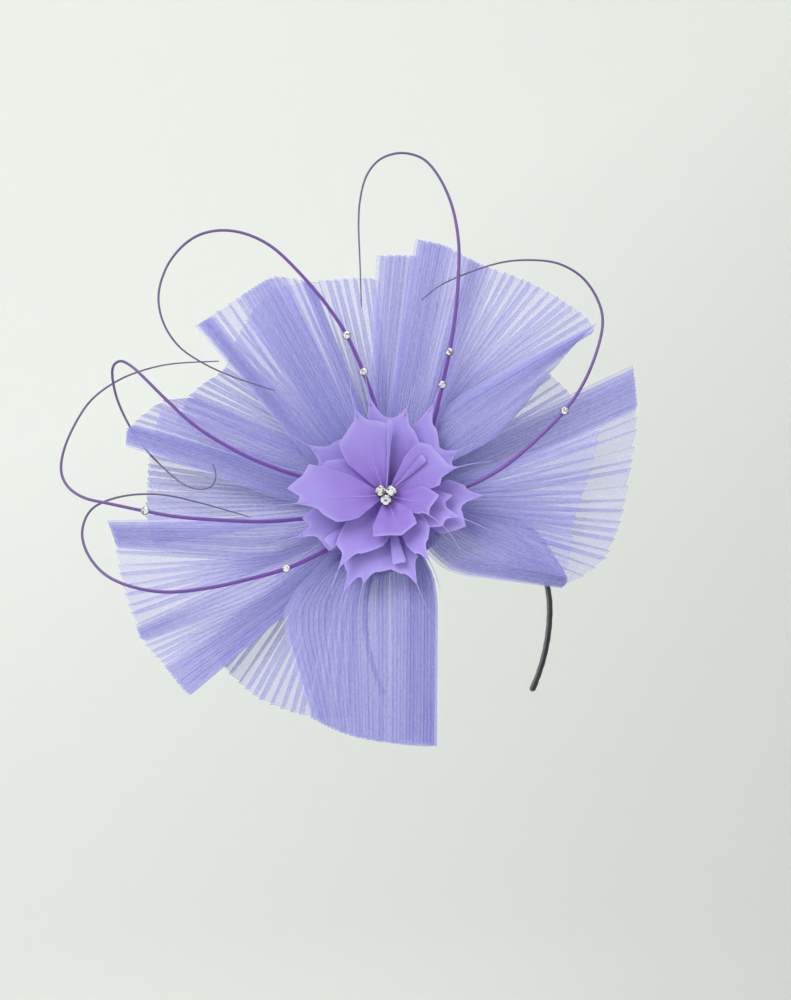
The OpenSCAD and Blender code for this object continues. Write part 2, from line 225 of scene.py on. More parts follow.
def dress(tree, shader, colour, roughness=None, relief=None):
    """Link a shader's colour and roughness; relief is the height, strength and depth in mm of its bump."""
    tree.links.new(colour, shader.inputs["Base Color"])
    if roughness:
        tree.links.new(roughness, shader.inputs["Roughness"])
    if relief:
        height, strength, depth = relief
        bump = add_node(tree, "ShaderNodeBump", {
            "Height": height, "Strength": strength, "Distance": depth * MM})
        tree.links.new(bump.outputs["Normal"], shader.inputs["Normal"])


def mesh_piece(name, points, faces, materials, body=None, face_material=None, smooth_faces=True,
               attributes=None):
    """A mesh object from points in metres; attributes are vectors, one for each point."""
    mesh = bpy.data.meshes.new(name)
    mesh.from_pydata([tuple(p) for p in points], [], faces)
    for material in materials:
        mesh.materials.append(material)
    if face_material:
        mesh.polygons.foreach_set("material_index", face_material)
    for label, values in (attributes or {}).items():
        layer = mesh.attributes.new(label, "FLOAT_VECTOR", "POINT")
        layer.data.foreach_set("vector", [c for value in values for c in value])
    mesh.validate()
    for polygon in mesh.polygons:
        polygon.use_smooth = smooth_faces
    piece = bpy.data.objects.new(name, mesh)
    bpy.context.scene.collection.objects.link(piece)
    if body:
        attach(piece, body)
    return piece


def grid_faces(rows, cols, start=0, loop=False):
    """Faces of a grid of rows by cols points, row by row; loop joins the last column to the first."""
    faces = []
    for i in range(rows - 1):
        for j in range(cols if loop else cols - 1):
            k = (j + 1) % cols
            faces.append((start + i * cols + j, start + i * cols + k,
                          start + (i + 1) * cols + k, start + (i + 1) * cols + j))
    return faces


# ---- materials -----------------------------------------------------------------------------------

def crin_net(name="crin_braided_nylon_net", cover=0, dark=0.0):
    """Crin: a net braided of dyed nylon thread, heat-set in pleats; each layer veils what is behind it."""
    settings = bpy.context.scene.fascinator_crin
    colours = bpy.context.scene.fascinator_colours
    material, tree, shader = new_material(name, Roughness=0.5, Alpha=cover or settings.cover, IOR=1.53)
    cloth = add_node(tree, "ShaderNodeAttribute", attribute_name="cloth_mm").outputs["Vector"]
    # Threads run the depth of the tape; they are drawn about 1 mm apart, coarser than the real 0.3 mm.
    threads = add_node(tree, "ShaderNodeMapping", {"Vector": cloth, "Scale": (1 / 0.7, 1 / 4.5, 1)})
    glints = add_node(tree, "ShaderNodeTexNoise", {
        "Vector": threads.outputs["Vector"], "Scale": 1.0, "Detail": 1.5})
    # Streaks of thinner and thicker dye, 2.6 mm wide and most of the tape long
    lengths = add_node(tree, "ShaderNodeMapping", {"Vector": cloth, "Scale": (1 / 2.6, 1 / 120, 1)})
    streaks = add_node(tree, "ShaderNodeTexNoise", {
        "Vector": lengths.outputs["Vector"], "Scale": 1.0, "Detail": 2.0})
    streak = add_node(tree, "ShaderNodeMapRange", {
        "Value": streaks.outputs["Fac"], "From Min": 0.38, "From Max": 0.62})
    dyed = add_node(tree, "ShaderNodeMix", {
        0: streak.outputs["Result"], 6: rgba(colours.crin_deep), 7: rgba(colours.crin)}, data_type="RGBA")
    glint = add_node(tree, "ShaderNodeMapRange", {
        "Value": glints.outputs["Fac"], "From Min": 0.50, "From Max": 0.70, "To Max": 0.55})
    lit = add_node(tree, "ShaderNodeMix", {
        0: glint.outputs["Result"], 6: dyed.outputs[2], 7: rgba(colours.crin_light)}, data_type="RGBA")
    # The net lies closer near its gathered edge; painted shade darkens it there, under the flower.
    split = add_node(tree, "ShaderNodeSeparateXYZ", {"Vector": cloth})
    gather_shade = add_node(tree, "ShaderNodeMapRange", {
        "Value": split.outputs["Y"], "From Min": 20.0, "From Max": 95.0, "To Min": 0.35, "To Max": 0.0})
    shade = add_node(tree, "ShaderNodeMix", {
        0: gather_shade.outputs["Result"], 6: lit.outputs[2], 7: rgba(colours.crin_deep)}, data_type="RGBA")
    # Painted shade: faces along the folds and the selvedge are darkened towards the deep colour.
    if dark:
        shade = add_node(tree, "ShaderNodeMix", {
            0: dark, 6: shade.outputs[2], 7: rgba(colours.crin_deep)}, data_type="RGBA")
    dress(tree, shader, shade.outputs[2], relief=(glints.outputs["Fac"], 0.15, 0.2))
    return material


def crin_crease():
    """The crin's pressed folds and selvedges: threads lie closer there, so the net is denser, and it is
    darkened with painted shade.
    """
    return crin_net("crin_nylon_net_at_folds", cover=0.46, dark=0.4)


def feather_vane():
    """Goose feather: fine barbs lie side by side at a slant to the shaft, matt with a soft sheen."""
    colours = bpy.context.scene.fascinator_colours
    material, tree, shader = new_material(
        "feather_dyed_goose_vane", Roughness=0.72, Sheen_Weight=0.35, Sheen_Roughness=0.4,
        Subsurface_Weight=0.12, Subsurface_Scale=0.004)
    vane = add_node(tree, "ShaderNodeAttribute", attribute_name="vane_mm").outputs["Vector"]
    split = add_node(tree, "ShaderNodeSeparateXYZ", {"Vector": vane})
    # Painted shade: the colour is deeper near the foot, where the feathers lie over one another; it is paler
    # in patches where the vane is thin.
    foot_shade = add_node(tree, "ShaderNodeMapRange", {
        "Value": split.outputs["X"], "From Min": 5.0, "From Max": 48.0})
    dye = add_node(tree, "ShaderNodeMix", {
        0: foot_shade.outputs["Result"], 6: rgba(colours.feather_deep), 7: rgba(colours.feather)},
        data_type="RGBA")
    thin = add_node(tree, "ShaderNodeMapping", {"Vector": vane, "Scale": (1 / 22, 1 / 9, 1)})
    patches = add_node(tree, "ShaderNodeTexNoise", {
        "Vector": thin.outputs["Vector"], "Scale": 1.0, "Detail": 2.0})
    spot = add_node(tree, "ShaderNodeMapRange", {
        "Value": patches.outputs["Fac"], "From Min": 0.35, "From Max": 0.75, "To Max": 0.5})
    spotted = add_node(tree, "ShaderNodeMix", {
        0: spot.outputs["Result"], 6: dye.outputs[2], 7: rgba(colours.feather)}, data_type="RGBA")
    # Barbs are drawn 0.8 mm apart, twice as coarse as real ones.
    slant = add_node(tree, "ShaderNodeMapping", {"Vector": vane, "Scale": (1 / 5.0, 1 / 3.4, 1)})
    barbs = add_node(tree, "ShaderNodeTexWave", {
        "Vector": slant.outputs["Vector"], "Scale": 1.0, "Distortion": 0.8, "Detail": 2.0,
        "Detail Scale": 1.5}, bands_direction="DIAGONAL")
    faint = add_node(tree, "ShaderNodeMapRange", {"Value": barbs.outputs["Fac"], "To Max": 0.14})
    barbed = add_node(tree, "ShaderNodeMix", {
        0: faint.outputs["Result"], 6: spotted.outputs[2], 7: rgba(colours.feather_deep)}, data_type="RGBA")
    # Painted highlight: a pale rim along each feather's edge.
    edge = add_node(tree, "ShaderNodeMapRange", {
        "Value": split.outputs["Z"], "From Min": 0.9, "From Max": 1.0, "To Max": 0.45})
    rim_highlight = add_node(tree, "ShaderNodeMix", {
        0: edge.outputs["Result"], 6: barbed.outputs[2], 7: linear("C3B2EF")}, data_type="RGBA")
    dress(tree, shader, rim_highlight.outputs[2], relief=(barbs.outputs["Fac"], 0.2, 0.08))
    return material


def grained(name, low, high, grains, rough=None, relief=None, detail=2.0, distortion=0.0, **sockets):
    """A material whose colour, roughness and height follow one fine grain, in grains per metre on each axis.

    rough is the roughness from low to high, and relief is the bump's strength and its depth in mm."""
    material, tree, shader = new_material(name, **sockets)
    place = add_node(tree, "ShaderNodeTexCoord").outputs["Object"]
    scaled = add_node(tree, "ShaderNodeMapping", {"Vector": place, "Scale": grains})
    grain = add_node(tree, "ShaderNodeTexNoise", {
        "Vector": scaled.outputs["Vector"], "Scale": 1.0, "Detail": detail,
        "Distortion": distortion}).outputs["Fac"]
    tint = add_node(tree, "ShaderNodeMix", {0: grain, 6: linear(low), 7: linear(high)}, data_type="RGBA")
    dull = rough and add_node(tree, "ShaderNodeMapRange", {
        "Value": grain, "To Min": rough[0], "To Max": rough[1]}).outputs["Result"]
    dress(tree, shader, tint.outputs[2], dull, relief and (grain, *relief))
    return material


def feather_shaft():
    """A feather's shaft: paler, smooth keratin that takes less dye."""
    return grained("feather_shaft_keratin", "A28BE0", "BBABEA", (900, 900, 900), relief=(0.1, 0.05),
                   Roughness=0.4, IOR=1.55)


def quill_keratin():
    """Stripped quill: polished keratin, deep dye at the root, greyer and duller towards the thin end."""
    colours = bpy.context.scene.fascinator_colours
    material, tree, shader = new_material("quill_dyed_keratin", IOR=1.55, Coat_Weight=0.2, Coat_Roughness=0.3)
    along = add_node(tree, "ShaderNodeAttribute", attribute_name="along").outputs["Fac"]
    fade = add_node(tree, "ShaderNodeMapRange", {"Value": along, "From Min": 0.3, "From Max": 0.75})
    dye = add_node(tree, "ShaderNodeMix", {
        0: fade.outputs["Result"], 6: rgba(colours.quill), 7: rgba(colours.quill_tip)}, data_type="RGBA")
    place = add_node(tree, "ShaderNodeTexCoord").outputs["Object"]
    fine = add_node(tree, "ShaderNodeMapping", {"Vector": place, "Scale": (600, 600, 600)})
    grain = add_node(tree, "ShaderNodeTexNoise", {
        "Vector": fine.outputs["Vector"], "Scale": 1.0, "Detail": 3.0}).outputs["Fac"]
    scraped = add_node(tree, "ShaderNodeMapRange", {"Value": grain, "To Max": 0.22})
    worn = add_node(tree, "ShaderNodeMix", {
        0: scraped.outputs["Result"], 6: dye.outputs[2], 7: linear("6E4BB0")}, data_type="RGBA")
    dull = add_node(tree, "ShaderNodeMapRange", {"Value": grain, "To Min": 0.28, "To Max": 0.5})
    dress(tree, shader, worn.outputs[2], dull.outputs["Result"], (grain, 0.15, 0.08))
    return material


def foiled_crystal():
    """Cut glass with a silver foil behind it: it throws the light back in hard, bright facets."""
    material, tree, shader = new_material(
        "crystal_foil_backed_glass", Metallic=0.45, Coat_Weight=1.0, Coat_Roughness=0.02, Coat_IOR=1.6)
    place = add_node(tree, "ShaderNodeTexCoord").outputs["Object"]
    # Painted reflection: light and dark patches about 1 mm across are painted in as the flashes that the
    # cut's facets throw back.
    cut = add_node(tree, "ShaderNodeMapping", {"Vector": place, "Scale": (800, 800, 800)})
    facets = add_node(tree, "ShaderNodeTexVoronoi", {"Vector": cut.outputs["Vector"], "Scale": 1.0})
    split = add_node(tree, "ShaderNodeSeparateColor", {"Color": facets.outputs["Color"]})
    flash = add_node(tree, "ShaderNodeMapRange", {
        "Value": split.outputs["Red"], "From Min": 0.2, "From Max": 0.55})
    tint = add_node(tree, "ShaderNodeMix", {
        0: flash.outputs["Result"], 6: linear("8C8A99"), 7: linear("FFFFFF")}, data_type="RGBA")
    rough = add_node(tree, "ShaderNodeMapRange", {
        "Value": split.outputs["Green"], "To Min": 0.03, "To Max": 0.15})
    dress(tree, shader, tint.outputs[2], rough.outputs["Result"])
    return material


def blackened_metal():
    """Blackened brass cups, with the dark finish varying a little in a fine grain."""
    return grained("cup_blackened_brass", "2B2A30", "5C5A62", (900, 900, 900), rough=(0.25, 0.5),
                   Metallic=0.9)


def spring_steel():
    """Rolled spring strip: grey, brushed along its length."""
    return grained("band_rolled_spring_steel", "8C8E93", "B4B6BA", (80, 1500, 80), rough=(0.25, 0.45),
                   Metallic=1.0)


def satin_ribbon():
    """Black satin ribbon: long floats give a lengthwise shine over a deep black."""
    material, tree, shader = new_material("band_black_satin_ribbon", Sheen_Weight=0.3, Specular_IOR_Level=0.6)
    ribbon = add_node(tree, "ShaderNodeAttribute", attribute_name="ribbon_mm").outputs["Vector"]
    # Floats are drawn 0.5 mm apart, coarser than real ones.
    spread = add_node(tree, "ShaderNodeMapping", {"Vector": ribbon, "Scale": (1 / 12, 1 / 3.1, 1)})
    floats = add_node(tree, "ShaderNodeTexWave", {
        "Vector": spread.outputs["Vector"], "Scale": 1.0, "Distortion": 0.6, "Detail": 1.0},
        bands_direction="Y").outputs["Fac"]
    # Painted sheen: the floats are painted a little lighter than the black between them.
    tint = add_node(tree, "ShaderNodeMix", {
        0: floats, 6: linear("101014"), 7: linear("26262E")}, data_type="RGBA")
    rough = add_node(tree, "ShaderNodeMapRange", {"Value": floats, "To Min": 0.28, "To Max": 0.42})
    dress(tree, shader, tint.outputs[2], rough.outputs["Result"], (floats, 0.25, 0.08))
    return material


def wool_felt():
    """Wool felt: matted short fibres, no weave, quite matt."""
    return grained("base_dyed_wool_felt", "5D4FA6", "7D70C8", (1400, 1400, 500), relief=(0.5, 0.3),
                   detail=4.0, distortion=1.2, Roughness=0.9, Sheen_Weight=0.5, Sheen_Roughness=0.5)


def sinamay_straw():
    """Sinamay: banana fibre in an open plain weave, stiffened and dyed."""
    material, tree, shader = new_material("base_dyed_sinamay_straw", Roughness=0.6)
    place = add_node(tree, "ShaderNodeTexCoord").outputs["Object"]
    # Fibres lie 1.2 mm apart both ways; a wave of scale 1 repeats about every 0.16 of its own unit.
    fibres = []
    for direction, scale in (("X", (1000 / 7.5, 1, 1)), ("Y", (1, 1000 / 7.5, 1))):
        spread = add_node(tree, "ShaderNodeMapping", {"Vector": place, "Scale": scale})
        fibres.append(add_node(tree, "ShaderNodeTexWave", {
            "Vector": spread.outputs["Vector"], "Scale": 1.0, "Distortion": 0.3},
            bands_direction=direction).outputs["Fac"])
    weave = add_node(tree, "ShaderNodeMath", {0: fibres[0], 1: fibres[1]}, operation="MAXIMUM").outputs[0]
    tint = add_node(tree, "ShaderNodeMix", {
        0: weave, 6: linear("4A3E92"), 7: linear("8176CC")}, data_type="RGBA")
    dress(tree, shader, tint.outputs[2], relief=(weave, 0.6, 0.4))
    return material


def buckram_mesh():
    """Buckram: stiff, sized cotton, off-white, in a plain weave of squares 1.4 mm wide."""
    material, tree, shader = new_material("base_sized_cotton_buckram", Roughness=0.85)
    place = add_node(tree, "ShaderNodeTexCoord").outputs["Object"]
    squares = add_node(tree, "ShaderNodeTexChecker", {
        "Vector": place, "Scale": 700.0, "Color1": linear("D8D4DE"), "Color2": linear("BDB8C8")})
    dress(tree, shader, squares.outputs["Color"])
    return material


def sewing_thread():
    """Polyester sewing thread, twisted, with a slight shine."""
    material, tree, shader = new_material("stitch_polyester_thread", Roughness=0.5, Sheen_Weight=0.3)
    place = add_node(tree, "ShaderNodeTexCoord").outputs["Object"]
    twist = add_node(tree, "ShaderNodeMapping", {"Vector": place, "Scale": (500, 500, 500)})
    ply = add_node(tree, "ShaderNodeTexWave", {"Vector": twist.outputs["Vector"], "Scale": 1.0},
                   bands_direction="DIAGONAL")
    tint = add_node(tree, "ShaderNodeMix", {
        0: ply.outputs["Fac"], 6: linear("54489C"), 7: linear("8A7FD0")}, data_type="RGBA")
    dress(tree, shader, tint.outputs[2])
    return material


def backdrop_paper():
    """Seamless backdrop paper, matt: pale, with painted shade that darkens it a little towards the floor and
    one side.
    """
    material, tree, shader = new_material("backdrop_matt_paper", Roughness=0.95)
    place = add_node(tree, "ShaderNodeTexCoord").outputs["Object"]
    # Painted shade: the paper darkens towards the floor and one side.
    height = add_node(tree, "ShaderNodeVectorMath", {0: place, 1: (-0.5, 0.0, 0.8)}, operation="DOT_PRODUCT")
    share = add_node(tree, "ShaderNodeMapRange", {
        "Value": height.outputs["Value"], "From Min": -0.75, "From Max": 0.5})
    tint = add_node(tree, "ShaderNodeMix", {
        0: share.outputs["Result"], 6: linear("D1D3D0"), 7: linear("EDEFEB")}, data_type="RGBA")
    dress(tree, shader, tint.outputs[2])
    return material


MATERIAL_NAMES = {}


def material(maker):
    """The one material that a maker makes, made once."""
    found = bpy.data.materials.get(MATERIAL_NAMES.get(maker.__name__, ""))
    if found is None:
        found = maker()
        MATERIAL_NAMES[maker.__name__] = found.name
    return found


# ---- crin ----------------------------------------------------------------------------------------

# Radius of the ring that the crin is gathered onto, and how far out its layers go on parting, mm
ROOT_RADIUS = 18.5
SPREAD_END = 150
# Depth of each layer at the ring and at the rim, mm out of the fan
ROOT_DEPTH = (-7, -3, 1, 5)
RIM_DEPTH = (-16, -4, 8, 20)
# Depth of the crin tape from edge to edge, in metres, and the width of its selvedge, in mm
TAPE_DEPTH = 0.16
SELVEDGE = 0.6
# Reach of the rim from the fan's centre that the jags are measured on, mm
RIM_REACH = 175
# Share of a pleat's cloth that lies in front of its high fold
FRONT_SHARE = 0.6

# Each gathered length: its layer, counted from the back, its seed, the tape cut for it, and the stations of
# its edge. A station is its place on the rim, the place that its folds aim at near the flower, the pleats up
# to the next station and how far it lifts off its layer, in millimetres.
LENGTHS = {
    "crin_bottom": (2, 1, 490, [
        ((-49, -152), (-73, -79), 10, 0), ((-26, -163), (-30, -67), 14, 2),
        ((5, -169), (6, -61), 13, 3), ((35, -171), (36, -55), 8, 2), ((13, -166), (16, -55), 0, -4)]),
    "crin_lower_left_back": (0, 2, 180, [
        ((-122, -99), (-70, -51), 4, 0), ((-105, -121), (-60, -59), 4, 0), ((-85, -138), (-52, -71), 5, 0),
        ((-50, -150), (-40, -77), 4, 0), ((-20, -150), (-20, -77), 0, 0)]),
    "crin_lower_left": (1, 3, 450, [
        ((-189, -17), (-62, -15), 9, 2), ((-184, -31), (-75, -41), 8, -1), ((-168, -88), (-73, -43), 5, 1),
        ((-166, -97), (-80, -68), 4, -1), ((-150, -114), (-81, -71), 12, 2),
        ((-131, -137), (-33, -52), 0, 3)]),
    "crin_left_back": (0, 4, 200, [
        ((-155, 65), (-61, 24), 6, 0), ((-163, 31), (-63, 10), 5, 0), ((-164, 6), (-62, 2), 4, 0),
        ((-165, -12), (-62, -7), 4, 0), ((-159, -32), (-60, -17), 0, 0)]),
    "crin_left": (2, 5, 180, [
        ((-176, 32), (-56, -9), 8, 2), ((-176, 44), (-60, 12), 5, 0), ((-152, 64), (-64, 24), 5, 1),
        ((-130, 66), (-52, 34), 0, 1)]),
    "crin_upper_left": (3, 6, 270, [
        ((-129, 113), (-42, 11), 6, 1), ((-122, 119), (-46, 22), 3, -3),
        ((-101, 132), (-40, 33), 10, 2), ((-77, 149), (-26, 46), 3, -1), ((-58, 146), (-20, 52), 4, 1),
        ((-49, 143), (-14, 56), 0, 0)]),
    "crin_upper_left_back": (0, 7, 310, [
        ((-145, 54), (-57, 26), 4, 0), ((-136, 74), (-55, 37), 5, 0), ((-112, 91), (-51, 45), 5, 0),
        ((-98, 126), (-45, 53), 5, 0), ((-79, 150), (-33, 61), 5, 0), ((-41, 156), (-16, 65), 6, 0),
        ((-4, 157), (2, 68), 0, 0)]),
    "crin_top_strip": (1, 8, 90, [
        ((-6, 170), (-13, 66), 9, 1), ((23, 170), (8, 62), 0, 0)]),
    "crin_top": (2, 9, 380, [
        ((21, 178), (0, 55), 10, 2), ((42, 174), (18, 61), 4, 0), ((55, 166), (28, 64), 6, 1),
        ((69, 159), (34, 65), 13, 0), ((145, 117), (40, 63), 2, 0), ((143, 112), (52, 57), 0, -2)]),
    "crin_upper_right": (3, 10, 150, [
        ((144, 115), (38, 61), 10, 2), ((128, 99), (62, 53), 7, 1),
        ((110, 78), (82, 50), 5, 0), ((100, 66), (78, 38), 0, -1)]),
    "crin_right_back": (0, 13, 30, [
        ((110, 92), (53, 47), 4, 0), ((130, 73), (63, 37), 0, 0)]),
    "crin_right": (0, 11, 300, [
        ((172, 94), (79, 50), 11, 3), ((175, 67), (64, 16), 5, 0), ((169, 20), (60, 2), 4, 0),
        ((162, -15), (62, -7), 4, 0), ((151, -42), (64, -15), 3, 0), ((127, -59), (60, -27), 0, 0)]),
    "crin_right_front": (1, 14, 110, [
        ((147, 46), (62, 19), 5, 1), ((136, 3), (64, 3), 4, 1), ((128, -18), (66, -8), 4, 1),
        ((123, -54), (64, -26), 0, 0)]),
    "crin_curl": (1, 12, 170, [
        ((119, -64), (38, -53), 8, 4), ((123, -61), (66, -46), 7, 9), ((123, -57), (88, -34), 6, 8),
        ((121, -50), (100, -16), 0, -2)]),
}


class GatheredLength:
    """A strip of pleated crin between its gathered edge and its rim."""

    def __init__(self, layer, stations):
        self.layer = layer
        self.stations = stations
        self.starts = [0]
        for station in stations:
            self.starts.append(self.starts[-1] + station[2])
        self.pleats = self.starts[-1]

    def station_at(self, n):
        """Rim, aim and lift at pleat number n."""
        n = min(max(n, 0), self.pleats)
        i = 0
        while i < len(self.stations) - 2 and n > self.starts[i + 1]:
            i += 1
        a, b = self.stations[i], self.stations[i + 1]
        f = (n - self.starts[i]) / a[2]
        (ax, ay), (bx, by) = a[0], b[0]
        start, end = math.atan2(ay, ax), math.atan2(by, bx)
        turn = (end - start + math.pi) % (2 * math.pi) - math.pi
        radius = mix(math.hypot(ax, ay), math.hypot(bx, by), f)
        rim = Vector((radius * math.cos(start + turn * f), radius * math.sin(start + turn * f)))
        return rim, Vector(a[1]).lerp(Vector(b[1]), f), mix(a[3], b[3], f)

    def point(self, n, t):
        """A place u, v, w on the unpleated strip: pleat number n, share t from gathered edge to rim."""
        rim, aim, lift = self.station_at(n)
        root = aim.normalized() * ROOT_RADIUS
        first, second = (aim - root).length, (rim - aim).length

        def straight(s):
            s *= first + second
            if s < first:
                return root.lerp(aim, s / first)
            return aim.lerp(rim, (s - first) / second)

        reach = min(0.12, t, 1 - t)
        flat = (straight(t - reach) + 2 * straight(t) + straight(t + reach)) / 4
        spread = smooth((flat.length - ROOT_RADIUS) / SPREAD_END)
        depth = mix(ROOT_DEPTH[self.layer], RIM_DEPTH[self.layer], spread)
        return Vector((flat.x, flat.y, depth + lift * t * t))


def pleated_sheet(length, settings, draw):
    """Points, faces, kinds of face and cloth places of a knife-pleated strip.

    Each pleat runs forwards to its high fold and back to the next low one. Beside every fold lies a narrow
    crease, and along the rim the selvedge, as faces of kind 1."""
    cloth = settings.cloth
    shifts = [0, *(draw.uniform(-0.25, 0.25) for _ in range(length.pleats - 1)), 0]
    steps = [draw.uniform(-0.5, 0.5) for _ in range(length.pleats + 1)]
    shares = [j / settings.rows for j in range(settings.rows)] + [1 - SELVEDGE * MM / TAPE_DEPTH, 1]
    points, places = [], []
    for t in shares:
        edge = [length.point(i / 4, t) for i in range(4 * length.pleats + 1)]
        run = [0.0]
        for here, ahead in zip(edge, edge[1:]):
            run.append(run[-1] + (ahead - here).length)

        def number_at(distance):
            i = min(bisect.bisect_right(run, distance), len(run) - 1)
            return (i - 1 + (distance - run[i - 1]) / max(run[i] - run[i - 1], 1e-6)) / 4

        def distance_at(n):
            i = min(int(4 * n), len(run) - 2)
            return mix(run[i], run[i + 1], 4 * n - i)

        folds = []
        for k in range(length.pleats + 1):
            n = k + shifts[k]
            folds.append((length.point(n, t), k * cloth, steps[k]))
            if k == length.pleats:
                break
            low, high = distance_at(n), distance_at(k + 1 + shifts[k + 1])
            reach = number_at(min(low + (cloth + high - low) / 2, run[-1]))
            tall = settings.pleat_height * (0.75 + 0.25 * t) * (1 + 0.3 * steps[k])
            top = length.point(reach, t) + Vector((0, 0, tall))
            inwards = 1 - (settings.jag + steps[k]) / RIM_REACH * t
            high_fold = Vector((top.x * inwards, top.y * inwards, top.z))
            folds.append((high_fold, (k + FRONT_SHARE) * cloth, steps[k]))
        for (here, mark, tone), (ahead, next_mark, _) in zip(folds, folds[1:]):
            share = min(settings.crease / max((ahead - here).length, 0.01), 0.2)
            for f in (0, share, 1 - share):
                points.append(fan_point(*here.lerp(ahead, f)))
                places.append((mix(mark, next_mark, f), t * TAPE_DEPTH / MM, tone))
        here, mark, tone = folds[-1]
        points.append(fan_point(*here))
        places.append((mark, t * TAPE_DEPTH / MM, tone))
    columns = len(points) // len(shares)
    faces = grid_faces(len(shares), columns)
    kinds = [1 if j == len(shares) - 2 or i % 3 != 1 else 0
             for j in range(len(shares) - 1) for i in range(columns - 1)]
    return points, faces, kinds, places


class FASCINATOR_OT_crin(bpy.types.Operator):
    """Make the gathered lengths of pleated crin that form the fan"""
    bl_idname = "fascinator.crin"
    bl_label = "Crin Fan"

    def execute(self, context):
        settings = context.scene.fascinator_crin
        for name, (layer, seed, cut, stations) in LENGTHS.items():
            length = GatheredLength(layer, stations)
            points, faces, kinds, places = pleated_sheet(length, settings, random.Random(seed))
            piece = mesh_piece(name + "_net", points, faces, [material(crin_net), material(crin_crease)],
                               HEAD, face_material=kinds, smooth_faces=False,
                               attributes={"cloth_mm": places})
            if name in frame["nodes"]:
                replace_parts(piece, name)
        return {"FINISHED"}


# ---- flower --------------------------------------------------------------------------------------

# Reach of the longest feather from the flower's middle, where its lift is whole, mm
PETAL_REACH = 64

# Each feather: its foot's depth, its lift at full reach, and its edge as angle and radius round the flower.
# A thorn has two more numbers, where its hair ends. Angles count anticlockwise from the right.
FEATHERS = {
    "petal_back_1": (12, 8, [
        (126, 50), (133, 52), (146, 64, 147, 80), (154, 51), (166, 44)]),
    "petal_back_2": (12.95, 8, [
        (22, 46), (26, 50), (33.5, 59, 30, 74), (44, 50), (54, 58), (63.4, 72, 64, 88), (73, 52)]),
    "petal_back_3": (13.9, 8, [
        (-34, 44), (-20.5, 57), (-9, 51), (0.8, 66, 1.5, 82), (8.2, 54), (16, 44)]),
    "petal_back_4": (14.85, 8, [
        (-126, 48), (-119, 56), (-113.5, 72, -112.5, 86), (-107, 57), (-104.5, 62, -103, 80), (-95, 51),
        (-86, 49), (-79, 53), (-70.8, 64, -70, 84), (-62, 46)]),
    "petal_back_5": (15.8, 8, [
        (186, 46), (195, 58), (200, 55), (205, 68, 203, 84), (213, 53), (224, 53), (232, 42)]),
    "petal_middle_1": (17.5, 13, [
        (54, 36), (60, 44), (68, 49), (76.6, 62, 74, 84), (87, 53), (99.6, 68, 100, 88), (109, 48)]),
    "petal_middle_2": (18.45, 13, [
        (-38, 34), (-29, 43), (-24, 43), (-17, 52, -20, 76), (-6, 40), (0, 44.5), (8, 32)]),
    "petal_middle_3": (19.4, 13, [
        (-68, 36), (-64, 44), (-57, 54, -61, 74), (-47, 41), (-36, 36), (-26, 27)]),
    "petal_middle_4": (20.35, 13, [
        (-146, 32), (-135, 47), (-129, 48), (-122, 60, -118, 76), (-113, 43), (-93, 34), (-80, 24)]),
    "petal_middle_5": (21.3, 13, [
        (134, 34), (150, 46), (158, 47), (165, 57, 166, 72), (176, 45), (186, 34)]),
    "petal_front_1": (23, 18, [
        (86, 40), (89.5, 47.5), (99, 50), (110.5, 61, 107, 82), (116, 52), (122, 49), (133, 46), (141, 32)]),
    "petal_front_2": (27.2, 18, [
        (38.5, 33.5), (40, 35), (47, 35.5), (48, 34)]),
    "petal_front_3": (24.9, 18, [
        (4, 20), (9, 36), (14, 38), (19.7, 51, 16, 74), (29, 45), (47, 44), (58, 41), (64, 28)]),
    "petal_front_4": (25.85, 18, [
        (-36, 20), (-31, 26), (-26, 32, -40, 66), (-17, 31), (-2, 35.5), (14, 24)]),
    "petal_front_5": (26.8, 18, [
        (-112, 22), (-106, 30), (-87, 28), (-70, 30), (-44, 28.5), (-32, 19)]),
    "petal_front_6": (27.75, 18, [
        (152, 26), (156, 36), (160, 54), (169, 56), (179, 65), (183.5, 57), (188.4, 60, 187.5, 80),
        (198, 45), (211, 38), (222, 24)]),
}
# Narrow offcuts of feather between the petals, with blunt ends: the same form
OFFCUTS = {
    "feather_offcut_top": (24.3, 17, [(84.2, 47), (85, 49.5), (88.6, 49.5), (89, 47)]),
    "feather_offcut_left": (18.0, 11, [(215, 49), (215.8, 51), (225, 51), (226, 48.5)]),
    "feather_offcut_bottom": (18.2, 11, [(-84.5, 45), (-84, 46.5), (-74, 46.5), (-73, 45)]),
}
# Radius at which every feather starts, under the crystals, mm
FOOT_RADIUS = 2.5
# How fast an edge closes on a thorn, and how late it climbs to the thorn's point
THORN_CLOSE = 1.7
THORN_CLIMB = 2.6


def edge_columns(outline):
    """Angles and radii round a feather's edge: straight between corners, hollow up to a thorn."""
    columns = []
    for a, b in zip(outline, outline[1:]):
        thorny = len(a) > 2 or len(b) > 2
        steps = 9 if thorny else 4
        for k in range(steps):
            f = k / steps
            if len(b) > 2:
                near = 1 - (1 - f) ** THORN_CLOSE
                columns.append((mix(a[0], b[0], near), mix(a[1], b[1], near ** THORN_CLIMB)))
            elif len(a) > 2:
                near = 1 - f ** THORN_CLOSE
                columns.append((mix(b[0], a[0], near), mix(b[1], a[1], near ** THORN_CLIMB)))
            else:
                start, end = Vector(polar(a[0], a[1])), Vector(polar(b[0], b[1]))
                here = start.lerp(end, f)
                columns.append((mix(a[0], b[0], f), here.length))
    columns.append((outline[-1][0], outline[-1][1]))
    return columns


